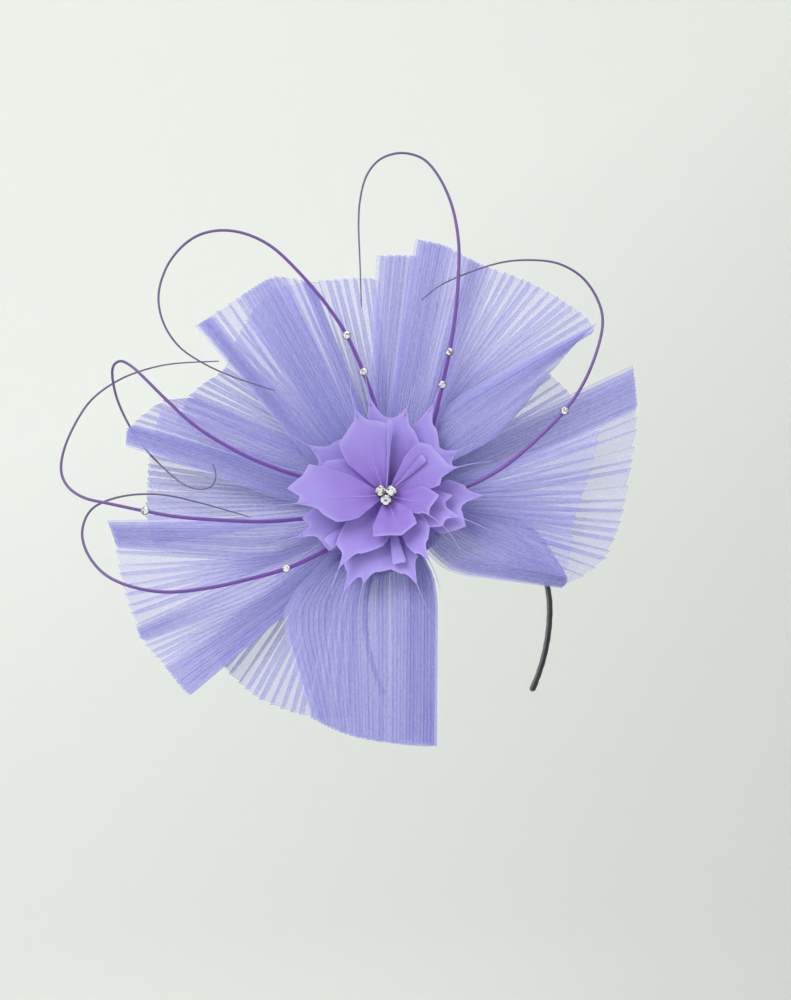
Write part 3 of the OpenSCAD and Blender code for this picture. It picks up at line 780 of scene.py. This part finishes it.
def tube(path, radii, sides):
    """Points and faces of a tapered tube along a path, closed at both ends."""
    points = []
    for i, here in enumerate(path):
        ahead = (path[min(i + 1, len(path) - 1)] - path[max(i - 1, 0)]).normalized()
        side = ahead.cross(NORMAL).normalized()
        up = side.cross(ahead)
        for q in range(sides):
            turn = 2 * math.pi * q / sides
            points.append(here + (side * math.cos(turn) + up * math.sin(turn)) * (radii[i] * MM))
    faces = [face[::-1] for face in grid_faces(len(path), sides, loop=True)]
    faces.append(tuple(range(sides)))
    faces.append(tuple(range((len(path) - 1) * sides, len(path) * sides))[::-1])
    return points, faces


def feather(name, foot, lift, outline, draw):
    settings = bpy.context.scene.fascinator_flower
    columns = edge_columns(outline)
    first, last = outline[0][0], outline[-1][0]
    middle, half = (first + last) / 2, (last - first) / 2
    bow = draw.uniform(-1.2, 1.2)

    def depth(angle, radius):
        off = (angle - middle) / half
        rise = lift * (radius / PETAL_REACH) ** 1.3
        bend = settings.cup * off * off + 0.25 * math.sin(2.2 * off * math.pi + bow)
        return foot + rise - bend * radius / PETAL_REACH

    points, vane = [], []
    for j in range(settings.rows + 1):
        t = j / settings.rows
        for angle, edge in columns:
            radius = mix(FOOT_RADIUS, edge, t)
            points.append(flower_point(*polar(angle, radius), depth(angle, radius)))
            turn = math.radians(angle - middle)
            vane.append((radius * math.cos(turn), abs(radius * math.sin(turn)), t))
    faces = [face[::-1] for face in grid_faces(settings.rows + 1, len(columns))]
    kinds = [0] * len(faces)

    def add_tube(path, radii):
        new_points, new_faces = tube([flower_point(*p) for p in path], radii, 6)
        start = len(points)
        points.extend(new_points)
        vane.extend([(50, 0, 0)] * len(new_points))
        faces.extend([tuple(start + i for i in face) for face in new_faces])
        kinds.extend([1] * len(new_faces))

    shaft_end = 0.86 * min(edge for angle, edge in columns if abs(angle - middle) < 0.3 * half)
    path = []
    for k in range(13):
        radius = mix(FOOT_RADIUS, shaft_end, k / 12)
        angle = middle + 2.5 * math.sin(math.pi * k / 12) * bow
        path.append((*polar(angle, radius), depth(angle, radius) + 0.12))
    add_tube(path, [settings.shaft * (1 - 0.7 * k / 12) for k in range(13)])
    for thorn in outline:
        if len(thorn) > 2:
            start, end = Vector(polar(thorn[0], thorn[1] - 7)), Vector(polar(thorn[2], thorn[3]))
            along = (Vector(polar(thorn[0], thorn[1])) - start).normalized()
            control = start + along * 0.55 * (end - start).length
            path = []
            for k in range(11):
                f = k / 10
                flat = start * (1 - f) ** 2 + control * 2 * f * (1 - f) + end * f * f
                path.append((flat.x, flat.y, depth(thorn[0], min(flat.length, thorn[1])) + 1.5 * f * f))
            add_tube(path, [settings.hair * (1 - 0.72 * k / 10) for k in range(11)])
    return mesh_piece(name + "_feather", points, faces, [material(feather_vane), material(feather_shaft)],
                      HEAD, face_material=kinds, attributes={"vane_mm": vane})


class FASCINATOR_OT_flower(bpy.types.Operator):
    """Make the cut feathers of the flower, with their shafts, thorns and hairs"""
    bl_idname = "fascinator.flower"
    bl_label = "Feather Flower"

    def execute(self, context):
        draw = random.Random(21)
        for name, (foot, lift, outline) in FEATHERS.items():
            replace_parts(feather(name, foot, lift, outline, draw), name)
        for name, (foot, lift, outline) in OFFCUTS.items():
            feather(name, foot, lift, outline, draw)
        return {"FINISHED"}


# ---- crystals ------------------------------------------------------------------------------------

def cut_stone(centre, radius, point_depth):
    """A round brilliant's points, as rings about the fan's own axis: girdle, crown, table and pavilion."""
    rings = [(16, 1.0, 0.0, 0), (16, 1.0, 0.08, 0), (8, 0.80, 0.26, 0.5), (8, 0.56, 0.42, 0)]
    points = []
    for count, share, height, shift in rings:
        for k in range(count):
            turn = 2 * math.pi * (k + shift) / count
            points.append(centre + (RIGHT * math.cos(turn) + UP * math.sin(turn)) * (radius * share * MM)
                          + NORMAL * (radius * height * MM))
    if point_depth:
        points.append(centre - NORMAL * (radius * point_depth * MM))
    return points


def hull_piece(name, clusters, materials, body):
    """One mesh of the convex hull of each cluster of points."""
    mesh = bpy.data.meshes.new(name)
    shape = bmesh.new()
    for cluster in clusters:
        part = bmesh.new()
        for p in cluster:
            part.verts.new(p)
        made = bmesh.ops.convex_hull(part, input=part.verts)
        bmesh.ops.delete(part, geom=[v for v in made["geom_interior"] if isinstance(v, bmesh.types.BMVert)],
                         context="VERTS")
        bmesh.ops.dissolve_limit(part, angle_limit=math.radians(1), verts=part.verts, edges=part.edges)
        bmesh.ops.recalc_face_normals(part, faces=part.faces)
        part.to_mesh(mesh)
        part.free()
        shape.from_mesh(mesh)
    shape.to_mesh(mesh)
    shape.free()
    for one in materials:
        mesh.materials.append(one)
    piece = bpy.data.objects.new(name, mesh)
    bpy.context.scene.collection.objects.link(piece)
    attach(piece, body)
    return piece


# The cups' place round the flower's middle and their height, and the crystals' radius, mm
CUP_DEPTH = 33
CUP_REACH = 4.14
CRYSTAL_RADIUS = 3.45
CUP_ANGLES = (30, 150, 270)
# A prong bends in over its crystal: distance out, height and half width at each bend, and thickness, mm
PRONG_BENDS = ((3.7, -1.6, 0.4), (3.7, 0.4, 0.4), (2.9, 1.3, 0.25), (3.4, 1.4, 0.3))
PRONG_THICK = 0.3


class FASCINATOR_OT_centre(bpy.types.Operator):
    """Make the three crystals of the flower's centre, with the prongs of their cups"""
    bl_idname = "fascinator.centre"
    bl_label = "Crystal Centre"

    def execute(self, context):
        centres = [flower_point(*polar(angle, CUP_REACH), CUP_DEPTH - 0.2) for angle in CUP_ANGLES]
        stones = hull_piece("centre_cut_crystals", [cut_stone(c, CRYSTAL_RADIUS, 0.7) for c in centres],
                            [material(foiled_crystal)], HEAD)
        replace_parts(stones, "centre_crystals")
        prongs = []
        for centre in centres:
            for k in range(4):
                turn = math.radians(45 + 90 * k)
                out = RIGHT * math.cos(turn) + UP * math.sin(turn)
                across = NORMAL.cross(out)
                cluster = []
                for reach, height, width in PRONG_BENDS:
                    for side in (-1, 1):
                        edge = NORMAL * height + across * (side * width)
                        cluster.append(centre + (out * reach + edge) * MM)
                        cluster.append(centre + (out * (reach + PRONG_THICK) + edge) * MM)
                prongs.append(cluster)
        hull_piece("centre_cup_prongs", prongs, [material(blackened_metal)], HEAD)
        return {"FINISHED"}


# ---- quills --------------------------------------------------------------------------------------

# Each quill's route from its root, as u, v, w in millimetres, and the shares of it that hold a stone
QUILLS = {
    1: ([
        (2, 16, 8.2), (0, 29.6, 9.5), (-3, 44, 12), (-7, 60.1, 15), (-12.9, 76.3, 20),
        (-19.9, 92.5, 25), (-27.8, 107.8, 29), (-40.7, 126.4, 32), (-57.7, 146.4, 34), (-75.7, 164, 34),
        (-92.8, 173.3, 34), (-109.8, 176.4, 34), (-125.7, 173.3, 34), (-138.5, 164, 34),
        (-148.2, 149.5, 34), (-152.8, 131, 34), (-149.5, 112.6, 34), (-139.4, 96.6, 33),
        (-124.5, 85.6, 32), (-103.6, 75.7, 31), (-74, 65.8, 30)], "quill_1_stones", (0.289, 0.2125)),
    2: ([
        (22, 14, 8.2), (29, 33.5, 10), (33.9, 50.9, 13), (38.8, 72.7, 18), (43.8, 95, 23),
        (47.8, 120.9, 26), (49.9, 147.2, 28), (50, 169.7, 29), (46.1, 193.6, 29), (38.2, 213.9, 28),
        (28.2, 227.9, 27), (17.1, 233.5, 26), (5.9, 233.9, 25), (-5.2, 229, 24), (-13.3, 217.7, 23),
        (-17.3, 201.2, 22), (-18.2, 183.6, 21), (-17.2, 157.8, 20), (-16.1, 126.9, 19)],
        "quill_2_stones", (0.166, 0.22)),
    3: ([
        (20, -6, 8.2), (36.9, -2.6, 10.5), (57.7, 4.4, 14), (78.1, 14.5, 20), (97.6, 29.4, 26),
        (120.3, 51.7, 30), (134.2, 72.4, 32), (143.5, 95.8, 32), (146.8, 114.2, 32), (143.2, 129.8, 31),
        (133.6, 144.5, 30), (118.8, 154.1, 29), (101.9, 157.5, 27), (81, 156.8, 25), (59, 150.8, 22.5),
        (37.9, 141.5, 21.5), (24.9, 131.2, 21)], "quill_3_stone", (0.3125,)),
    4: ([
        (-22, 2, 8.2), (-37.9, 6.4, 10.5), (-57.7, 10.5, 13.5), (-81.1, 17.9, 18), (-103.9, 28.6, 20),
        (-127.8, 43.5, 21), (-147.9, 61.8, 21), (-163.3, 77.3, 20), (-172.7, 86, 18),
        (-180.3, 90.1, 14), (-186, 87.4, 8), (-186.6, 78.5, 2), (-182.9, 64.2, -3), (-173.6, 45.8, -4),
        (-162, 30.2, -3), (-150.3, 18.1, 1), (-137.6, 7, 6), (-126.1, 2.2, 10), (-116.9, 3.5, 14),
        (-113.8, 10.2, 16), (-115.8, 18.1, 17)], None, ()),
    5: ([
        (-21, -10, 8.2), (-37.9, -15.7, 10.5), (-56.5, -18.6, 13), (-82.7, -21.1, 17),
        (-110.1, -20.4, 19), (-137.5, -18.7, 21), (-160.1, -14.9, 22), (-183.8, -9.9, 22),
        (-200.8, -5.8, 21), (-212.4, 2, 17), (-218.5, 13, 12), (-218.9, 27.3, 6), (-214.1, 44.7, 1),
        (-204, 63.9, -2), (-190.3, 76.6, -3), (-172.3, 85.9, -3), (-148.1, 92.2, -3),
        (-114.7, 94.3, -3)],
        "quill_5_stone", (0.353,)),
    6: ([
        (-18, -22, 8.2), (-29.9, -33.7, 10.5), (-44.5, -42.6, 13), (-65.7, -52.9, 17),
        (-89.8, -60.4, 21), (-115.9, -66.7, 24), (-142.9, -69.9, 26), (-165.3, -66.9, 26),
        (-184.4, -58.7, 23), (-197.7, -44.7, 15), (-204.5, -28.1, 5), (-202.5, -12.3, -5),
        (-193.2, -3.5, -9), (-174.3, 1.8, -10), (-151.1, 1.6, -9), (-127.7, -3.7, -8),
        (-109.5, -8.9, -7), (-92.3, -14.2, -6)],
        "quill_6_stone", (0.1765,)),
}
# How late a quill thins along its length, and the steps between two points of its route
TAPER = 1.3
STEPS_PER_SPAN = 8
# Height of a stone's girdle over its quill, and how far its seat stands out at its foot and its lip, mm
STONE_RISE = 0.35
SEAT_FOOT = 0.35
SEAT_LIP = 0.1


def route_point(route, share):
    """A place on the smooth curve through a route's points."""
    f = share * (len(route) - 1)
    i = min(int(f), len(route) - 2)
    t = f - i
    a, b, c, d = (Vector(route[min(max(k, 0), len(route) - 1)]) for k in (i - 1, i, i + 1, i + 2))
    bend = 2 * a - 5 * b + 4 * c - d
    twist = 3 * b - a - 3 * c + d
    return 0.5 * (2 * b + (c - a) * t + bend * t * t + twist * t ** 3)


def quill_radius(settings, share):
    return mix(settings.root, settings.tip, share ** TAPER)


def quill_tree(keratin):
    """A node group that sweeps a tapering, grooved section along a line of points."""
    tree = bpy.data.node_groups.new("Stripped Quill", "GeometryNodeTree")
    face = tree.interface
    face.new_socket("Geometry", in_out="INPUT", socket_type="NodeSocketGeometry")
    for name, default in (("Root Radius", 0.00145), ("Tip Radius", 0.0004), ("Taper", TAPER)):
        face.new_socket(name, in_out="INPUT", socket_type="NodeSocketFloat").default_value = default
    face.new_socket("Geometry", in_out="OUTPUT", socket_type="NodeSocketGeometry")
    start = add_node(tree, "NodeGroupInput")
    line = add_node(tree, "GeometryNodeMeshToCurve", {"Mesh": start.outputs["Geometry"]})
    share = add_node(tree, "GeometryNodeSplineParameter")
    power = add_node(tree, "ShaderNodeMath", {0: share.outputs["Factor"], 1: start.outputs["Taper"]},
                     operation="POWER")
    radius = add_node(tree, "ShaderNodeMapRange", {
        "Value": power.outputs[0], "To Min": start.outputs["Root Radius"],
        "To Max": start.outputs["Tip Radius"]})
    stored = add_node(tree, "GeometryNodeStoreNamedAttribute", {
        "Geometry": line.outputs["Curve"], "Name": "along", "Value": share.outputs["Factor"]},
        data_type="FLOAT", domain="POINT")
    section = add_node(tree, "GeometryNodeCurvePrimitiveCircle", {"Resolution": 14, "Radius": 1.0})
    swept = add_node(tree, "GeometryNodeCurveToMesh", {
        "Curve": stored.outputs["Geometry"], "Profile Curve": section.outputs["Curve"],
        "Scale": radius.outputs["Result"], "Fill Caps": True})
    real = add_node(tree, "GeometryNodeRealizeInstances", {"Geometry": swept.outputs["Mesh"]})
    painted = add_node(tree, "GeometryNodeSetMaterial", {"Geometry": real.outputs["Geometry"]})
    painted.inputs["Material"].default_value = keratin
    end = add_node(tree, "NodeGroupOutput")
    tree.links.new(painted.outputs["Geometry"], end.inputs["Geometry"])
    return tree


def apply_tree(source, tree, values, name):
    """The plain mesh that a node group makes of an object, as a new object."""
    modifier = source.modifiers.new("nodes", "NODES")
    modifier.node_group = tree
    sockets = {item.name: item.identifier for item in tree.interface.items_tree if item.in_out == "INPUT"}
    for label, value in values.items():
        modifier[sockets[label]] = value
    bpy.context.view_layer.update()
    mesh = bpy.data.meshes.new_from_object(source.evaluated_get(bpy.context.evaluated_depsgraph_get()))
    bpy.data.objects.remove(source)
    mesh.name = name
    piece = bpy.data.objects.new(name, mesh)
    bpy.context.scene.collection.objects.link(piece)
    return piece


class FASCINATOR_OT_quills(bpy.types.Operator):
    """Make the six stripped quills and their stones"""
    bl_idname = "fascinator.quills"
    bl_label = "Quills"

    def execute(self, context):
        settings = context.scene.fascinator_quills
        tree = quill_tree(material(quill_keratin))
        for number, (route, stone_node, shares) in QUILLS.items():
            body = f"quill_{number}_spray"
            count = STEPS_PER_SPAN * (len(route) - 1)
            line = bpy.data.meshes.new("route")
            line.from_pydata([fan_point(*route_point(route, k / count)) for k in range(count + 1)],
                             [(k, k + 1) for k in range(count)], [])
            source = bpy.data.objects.new("route", line)
            context.scene.collection.objects.link(source)
            piece = apply_tree(source, tree, {
                "Root Radius": settings.root * MM, "Tip Radius": settings.tip * MM, "Taper": TAPER},
                f"quill_{number}_stripped")
            for polygon in piece.data.polygons:
                polygon.use_smooth = True
            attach(piece, body)
            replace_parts(piece, f"quill_{number}")
            if not stone_node:
                continue
            centres = []
            for share in shares:
                place = route_point(route, share)
                height = quill_radius(settings, share) + STONE_RISE
                centres.append(fan_point(place.x, place.y, place.z + height))
            stones = hull_piece(stone_node + "_cut", [cut_stone(c, settings.stone, 0) for c in centres],
                                [material(foiled_crystal)], body)
            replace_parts(stones, stone_node)
            seats = []
            for centre in centres:
                seat = []
                for k in range(16):
                    turn = 2 * math.pi * k / 16
                    out = RIGHT * math.cos(turn) + UP * math.sin(turn)
                    seat.append(centre + (out * (settings.stone + SEAT_FOOT) - NORMAL * 0.5) * MM)
                    seat.append(centre + (out * (settings.stone + SEAT_LIP) - NORMAL * 0.02) * MM)
                seats.append(seat)
            hull_piece(stone_node + "_seat", seats, [material(blackened_metal)], body)
        return {"FINISHED"}


# ---- headband ------------------------------------------------------------------------------------

# The legs' inward bend, their length below the round arc, and the end sleeves' length, mm
LEG_RADIUS = 130
LEG_LENGTH = 60
TIP_LENGTH = 7
# Width of one turn of the ribbon and how far each turn's edge stands proud, mm
RIBBON_TURN = 9.0
RIBBON_EDGE = 0.22
# How much wider and thicker the end sleeves are than the band, mm
SLEEVE_EXTRA = 0.6
BAND_AXIS = Vector(JOINTS["band_left_flex"]["axis"]).normalized()
BAND_SIDE = Vector((-BAND_AXIS.y, BAND_AXIS.x, 0))
Z_AXIS = Vector((0, 0, 1))


def band_line(settings, side, from_share, to_share, steps):
    """Middle line of one half of the band: share 0 is the top of the arc, 1 its foot and 2 the leg's end."""
    middle = settings.radius + settings.thick / 2
    line = []
    for k in range(steps + 1):
        share = mix(from_share, to_share, k / steps)
        if share <= 1:
            turn = math.pi / 2 * (1 - share)
            across, height = middle * math.cos(turn), middle * math.sin(turn)
            out = BAND_SIDE * (side * math.cos(turn)) + Z_AXIS * math.sin(turn)
        else:
            turn = (share - 1) * LEG_LENGTH / LEG_RADIUS
            across, height = middle - LEG_RADIUS * (1 - math.cos(turn)), -LEG_RADIUS * math.sin(turn)
            out = BAND_SIDE * (side * math.cos(turn)) - Z_AXIS * math.sin(turn)
        line.append(((BAND_SIDE * (side * across) + Z_AXIS * height) * MM, out))
    return line


def band_sleeve(name, line, width, thick, wrap, round_end=0):
    """A flat sleeve with rounded edges along the band's line, in metres; wrap is a ribbon's turn in mm."""
    section = []
    edge = thick * 0.48
    for cx, start in ((width / 2 - edge, -90), (-width / 2 + edge, 90)):
        for k in range(7):
            turn = math.radians(start + 30 * k)
            section.append((cx + edge * math.cos(turn), edge * math.sin(turn)))
    points, marks, run = [], [], 0.0
    for i, (here, out) in enumerate(line):
        if i:
            run += (here - line[i - 1][0]).length / MM
        shrink = 1.0
        left = len(line) - 1 - i
        if round_end and left < round_end:
            shrink = math.sqrt(max(0.06, 1 - (1 - left / round_end) ** 2))
        for q, (x, y) in enumerate(section):
            swell = 0.0
            if wrap:
                phase = (run + 0.7 * x) / wrap % 1.0
                swell = RIBBON_EDGE * smooth(phase / 0.9) * (1 if phase < 0.9 else (1 - phase) / 0.1)
            grow = 1 + swell / (thick / 2)
            points.append(here + (BAND_AXIS * (x * shrink) + out * (y * grow * shrink)) * MM)
            marks.append((run, x + (width if y < 0 else 0), 0))
    faces = grid_faces(len(line), len(section), loop=True)
    faces.append(tuple(range(len(section)))[::-1])
    faces.append(tuple(range((len(line) - 1) * len(section), len(line) * len(section))))
    piece = mesh_piece(name, points, faces, [material(satin_ribbon)], attributes={"ribbon_mm": marks})
    shape = bmesh.new()
    shape.from_mesh(piece.data)
    bmesh.ops.recalc_face_normals(shape, faces=shape.faces)
    shape.to_mesh(piece.data)
    shape.free()
    return piece


class FASCINATOR_OT_headband(bpy.types.Operator):
    """Make the ribbon-wrapped headband, its end sleeves and its spring"""
    bl_idname = "fascinator.headband"
    bl_label = "Headband"

    def execute(self, context):
        settings = context.scene.fascinator_band
        for label, side, crown in (("left", 1, ["band_crown_satin"]), ("right", -1, [])):
            leg_share = 2 - (TIP_LENGTH - 1) / LEG_LENGTH
            end_line = band_line(settings, side, leg_share - 0.01, 2.02, 16)
            wrap = band_sleeve(f"band_{label}_ribbon", band_line(settings, side, 0, leg_share, 150),
                               settings.width, settings.thick, RIBBON_TURN)
            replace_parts(wrap, *crown, f"band_{label}_satin")
            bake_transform(wrap)
            end = band_sleeve(f"band_{label}_end_sleeve", end_line, settings.width + SLEEVE_EXTRA,
                              settings.thick + SLEEVE_EXTRA, 0, round_end=5)
            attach(end, f"band_{label}_leg")
            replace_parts(end, f"band_{label}_tip")
        for name in ("band_crown_spring", "band_left_spring", "band_right_spring"):
            paint(name, spring_steel)
        return {"FINISHED"}


# ---- base ----------------------------------------------------------------------------------------

def paint(name, maker):
    """Give a CAD node's own mesh a finished material."""
    mesh = frame["nodes"][name].data
    mesh.materials.clear()
    mesh.materials.append(material(maker))


class FASCINATOR_OT_base(bpy.types.Operator):
    """Finish the domed base, the riser, the pads and the threads"""
    bl_idname = "fascinator.base"
    bl_label = "Base and Riser"

    def execute(self, context):
        for name, maker in (
            ("base_lining", wool_felt), ("base_form", buckram_mesh), ("base_cover", sinamay_straw),
            ("base_binding", sinamay_straw), ("riser", wool_felt), ("fan_disc", wool_felt),
            ("centre_pad", wool_felt), ("flower_disc", wool_felt), ("gather_thread", sewing_thread),
            ("band_stitches", sewing_thread), ("centre_setting", blackened_metal),
        ):
            paint(name, maker)
        return {"FINISHED"}


# ---- stage ---------------------------------------------------------------------------------------

# The round backdrop: its radius, its floor's height, its bend's radius and its top, in metres
WALL, FLOOR, BEND, WALL_TOP = 2.9, -0.45, 1.8, 3.2
WALL_TURNS = 72
BEND_STEPS = 16
# Each softbox: its place and the place that it faces, in metres, its side and its power in watts
SOFTBOXES = {
    "key_softbox": ((-1.1, -1.5, 1.5), FAN_CENTRE, 1.2, 30),
    "fill_softbox": ((1.5, -1.3, 0.8), FAN_CENTRE, 1.0, 8),
    "top_softbox": ((0.1, 0.1, 1.7), FAN_CENTRE, 1.3, 8),
    "wall_wash": ((-0.6, 0.9, 2.0), (0.2, 2.9, 0.5), 2.0, 20),
}
# The camera's distance before the fan, its shift to the right and down, the height that it takes in at the
# fan, in metres, and its sensor's size in mm
CAMERA_REACH = 1.4
CAMERA_RIGHT = 0.0071
CAMERA_DOWN = 0.0034
VIEW_HEIGHT = 0.68
SENSOR = 36


class FASCINATOR_OT_stage(bpy.types.Operator):
    """Set up the plain backdrop, the soft lights and the camera"""
    bl_idname = "fascinator.stage"
    bl_label = "Stage"

    def execute(self, context):
        scene = context.scene
        profile = [(0.4, FLOOR), (WALL - BEND, FLOOR)]
        for k in range(1, BEND_STEPS + 1):
            turn = math.pi / 2 * k / BEND_STEPS
            profile.append((WALL - BEND + BEND * math.sin(turn), FLOOR + BEND - BEND * math.cos(turn)))
        profile.append((WALL, WALL_TOP))
        points = []
        for r, z in profile:
            for k in range(WALL_TURNS):
                turn = 2 * math.pi * k / WALL_TURNS
                points.append((r * math.cos(turn), r * math.sin(turn), z))
        faces = [face[::-1] for face in grid_faces(len(profile), WALL_TURNS, loop=True)]
        faces.append(tuple(range(WALL_TURNS)))
        mesh_piece("backdrop", points, faces, [material(backdrop_paper)])

        world = bpy.data.worlds.new("studio")
        world.use_nodes = True
        world.node_tree.nodes["Background"].inputs["Color"].default_value = linear("F4F6F8")
        world.node_tree.nodes["Background"].inputs["Strength"].default_value = 0.40
        scene.world = world
        for name, (place, target, size, power) in SOFTBOXES.items():
            light = bpy.data.lights.new(name, "AREA")
            light.size = size
            light.energy = power
            lamp = bpy.data.objects.new(name, light)
            lamp.location = place
            lamp.rotation_euler = (Vector(target) - Vector(place)).to_track_quat("-Z", "Y").to_euler()
            lamp.visible_camera = False
            scene.collection.objects.link(lamp)

        camera = bpy.data.cameras.new("camera")
        camera.sensor_width = SENSOR
        camera.lens = SENSOR * CAMERA_REACH / VIEW_HEIGHT
        view = bpy.data.objects.new("camera", camera)
        view.location = FAN_CENTRE + Vector((CAMERA_RIGHT, -CAMERA_REACH, -CAMERA_DOWN))
        view.rotation_euler = (math.pi / 2, 0, 0)
        scene.collection.objects.link(view)
        bpy.context.scene.camera = view
        # The many thin layers of net need more see-through steps than the default.
        scene.cycles.transparent_max_bounces = 48
        scene.view_settings.view_transform = "Standard"
        return {"FINISHED"}


# ---- panel and registration ----------------------------------------------------------------------

OPERATORS = (
    FASCINATOR_OT_stage, FASCINATOR_OT_crin, FASCINATOR_OT_flower, FASCINATOR_OT_centre, FASCINATOR_OT_quills,
    FASCINATOR_OT_headband, FASCINATOR_OT_base,
)
GROUPS = {
    "fascinator_crin": FascinatorCrin,
    "fascinator_flower": FascinatorFlower,
    "fascinator_quills": FascinatorQuills,
    "fascinator_band": FascinatorBand,
    "fascinator_colours": FascinatorColours,
}


class FASCINATOR_PT_panel(bpy.types.Panel):
    """The fascinator's pieces and their sizes"""
    bl_idname = "FASCINATOR_PT_panel"
    bl_label = "Fascinator"
    bl_space_type = "VIEW_3D"
    bl_region_type = "UI"
    bl_category = "Fascinator"

    def draw(self, context):
        for operator in OPERATORS:
            self.layout.operator(operator.bl_idname, text=operator.bl_label)
        for name, group in GROUPS.items():
            box = self.layout.box()
            box.label(text=group.__name__.replace("Fascinator", ""))
            for label in group.__annotations__:
                box.prop(getattr(context.scene, name), label)


def register():
    for group in GROUPS.values():
        bpy.utils.register_class(group)
    for operator in OPERATORS:
        bpy.utils.register_class(operator)
    bpy.utils.register_class(FASCINATOR_PT_panel)
    for name, group in GROUPS.items():
        setattr(bpy.types.Scene, name, bpy.props.PointerProperty(type=group))


def unregister():
    for name in GROUPS:
        delattr(bpy.types.Scene, name)
    bpy.utils.unregister_class(FASCINATOR_PT_panel)
    for operator in reversed(OPERATORS):
        bpy.utils.unregister_class(operator)
    for group in reversed(GROUPS.values()):
        bpy.utils.unregister_class(group)


def main():
    register()
    for operator in OPERATORS:
        package, name = operator.bl_idname.split(".")
        getattr(getattr(bpy.ops, package), name)()


if __name__ == "__main__":
    main()
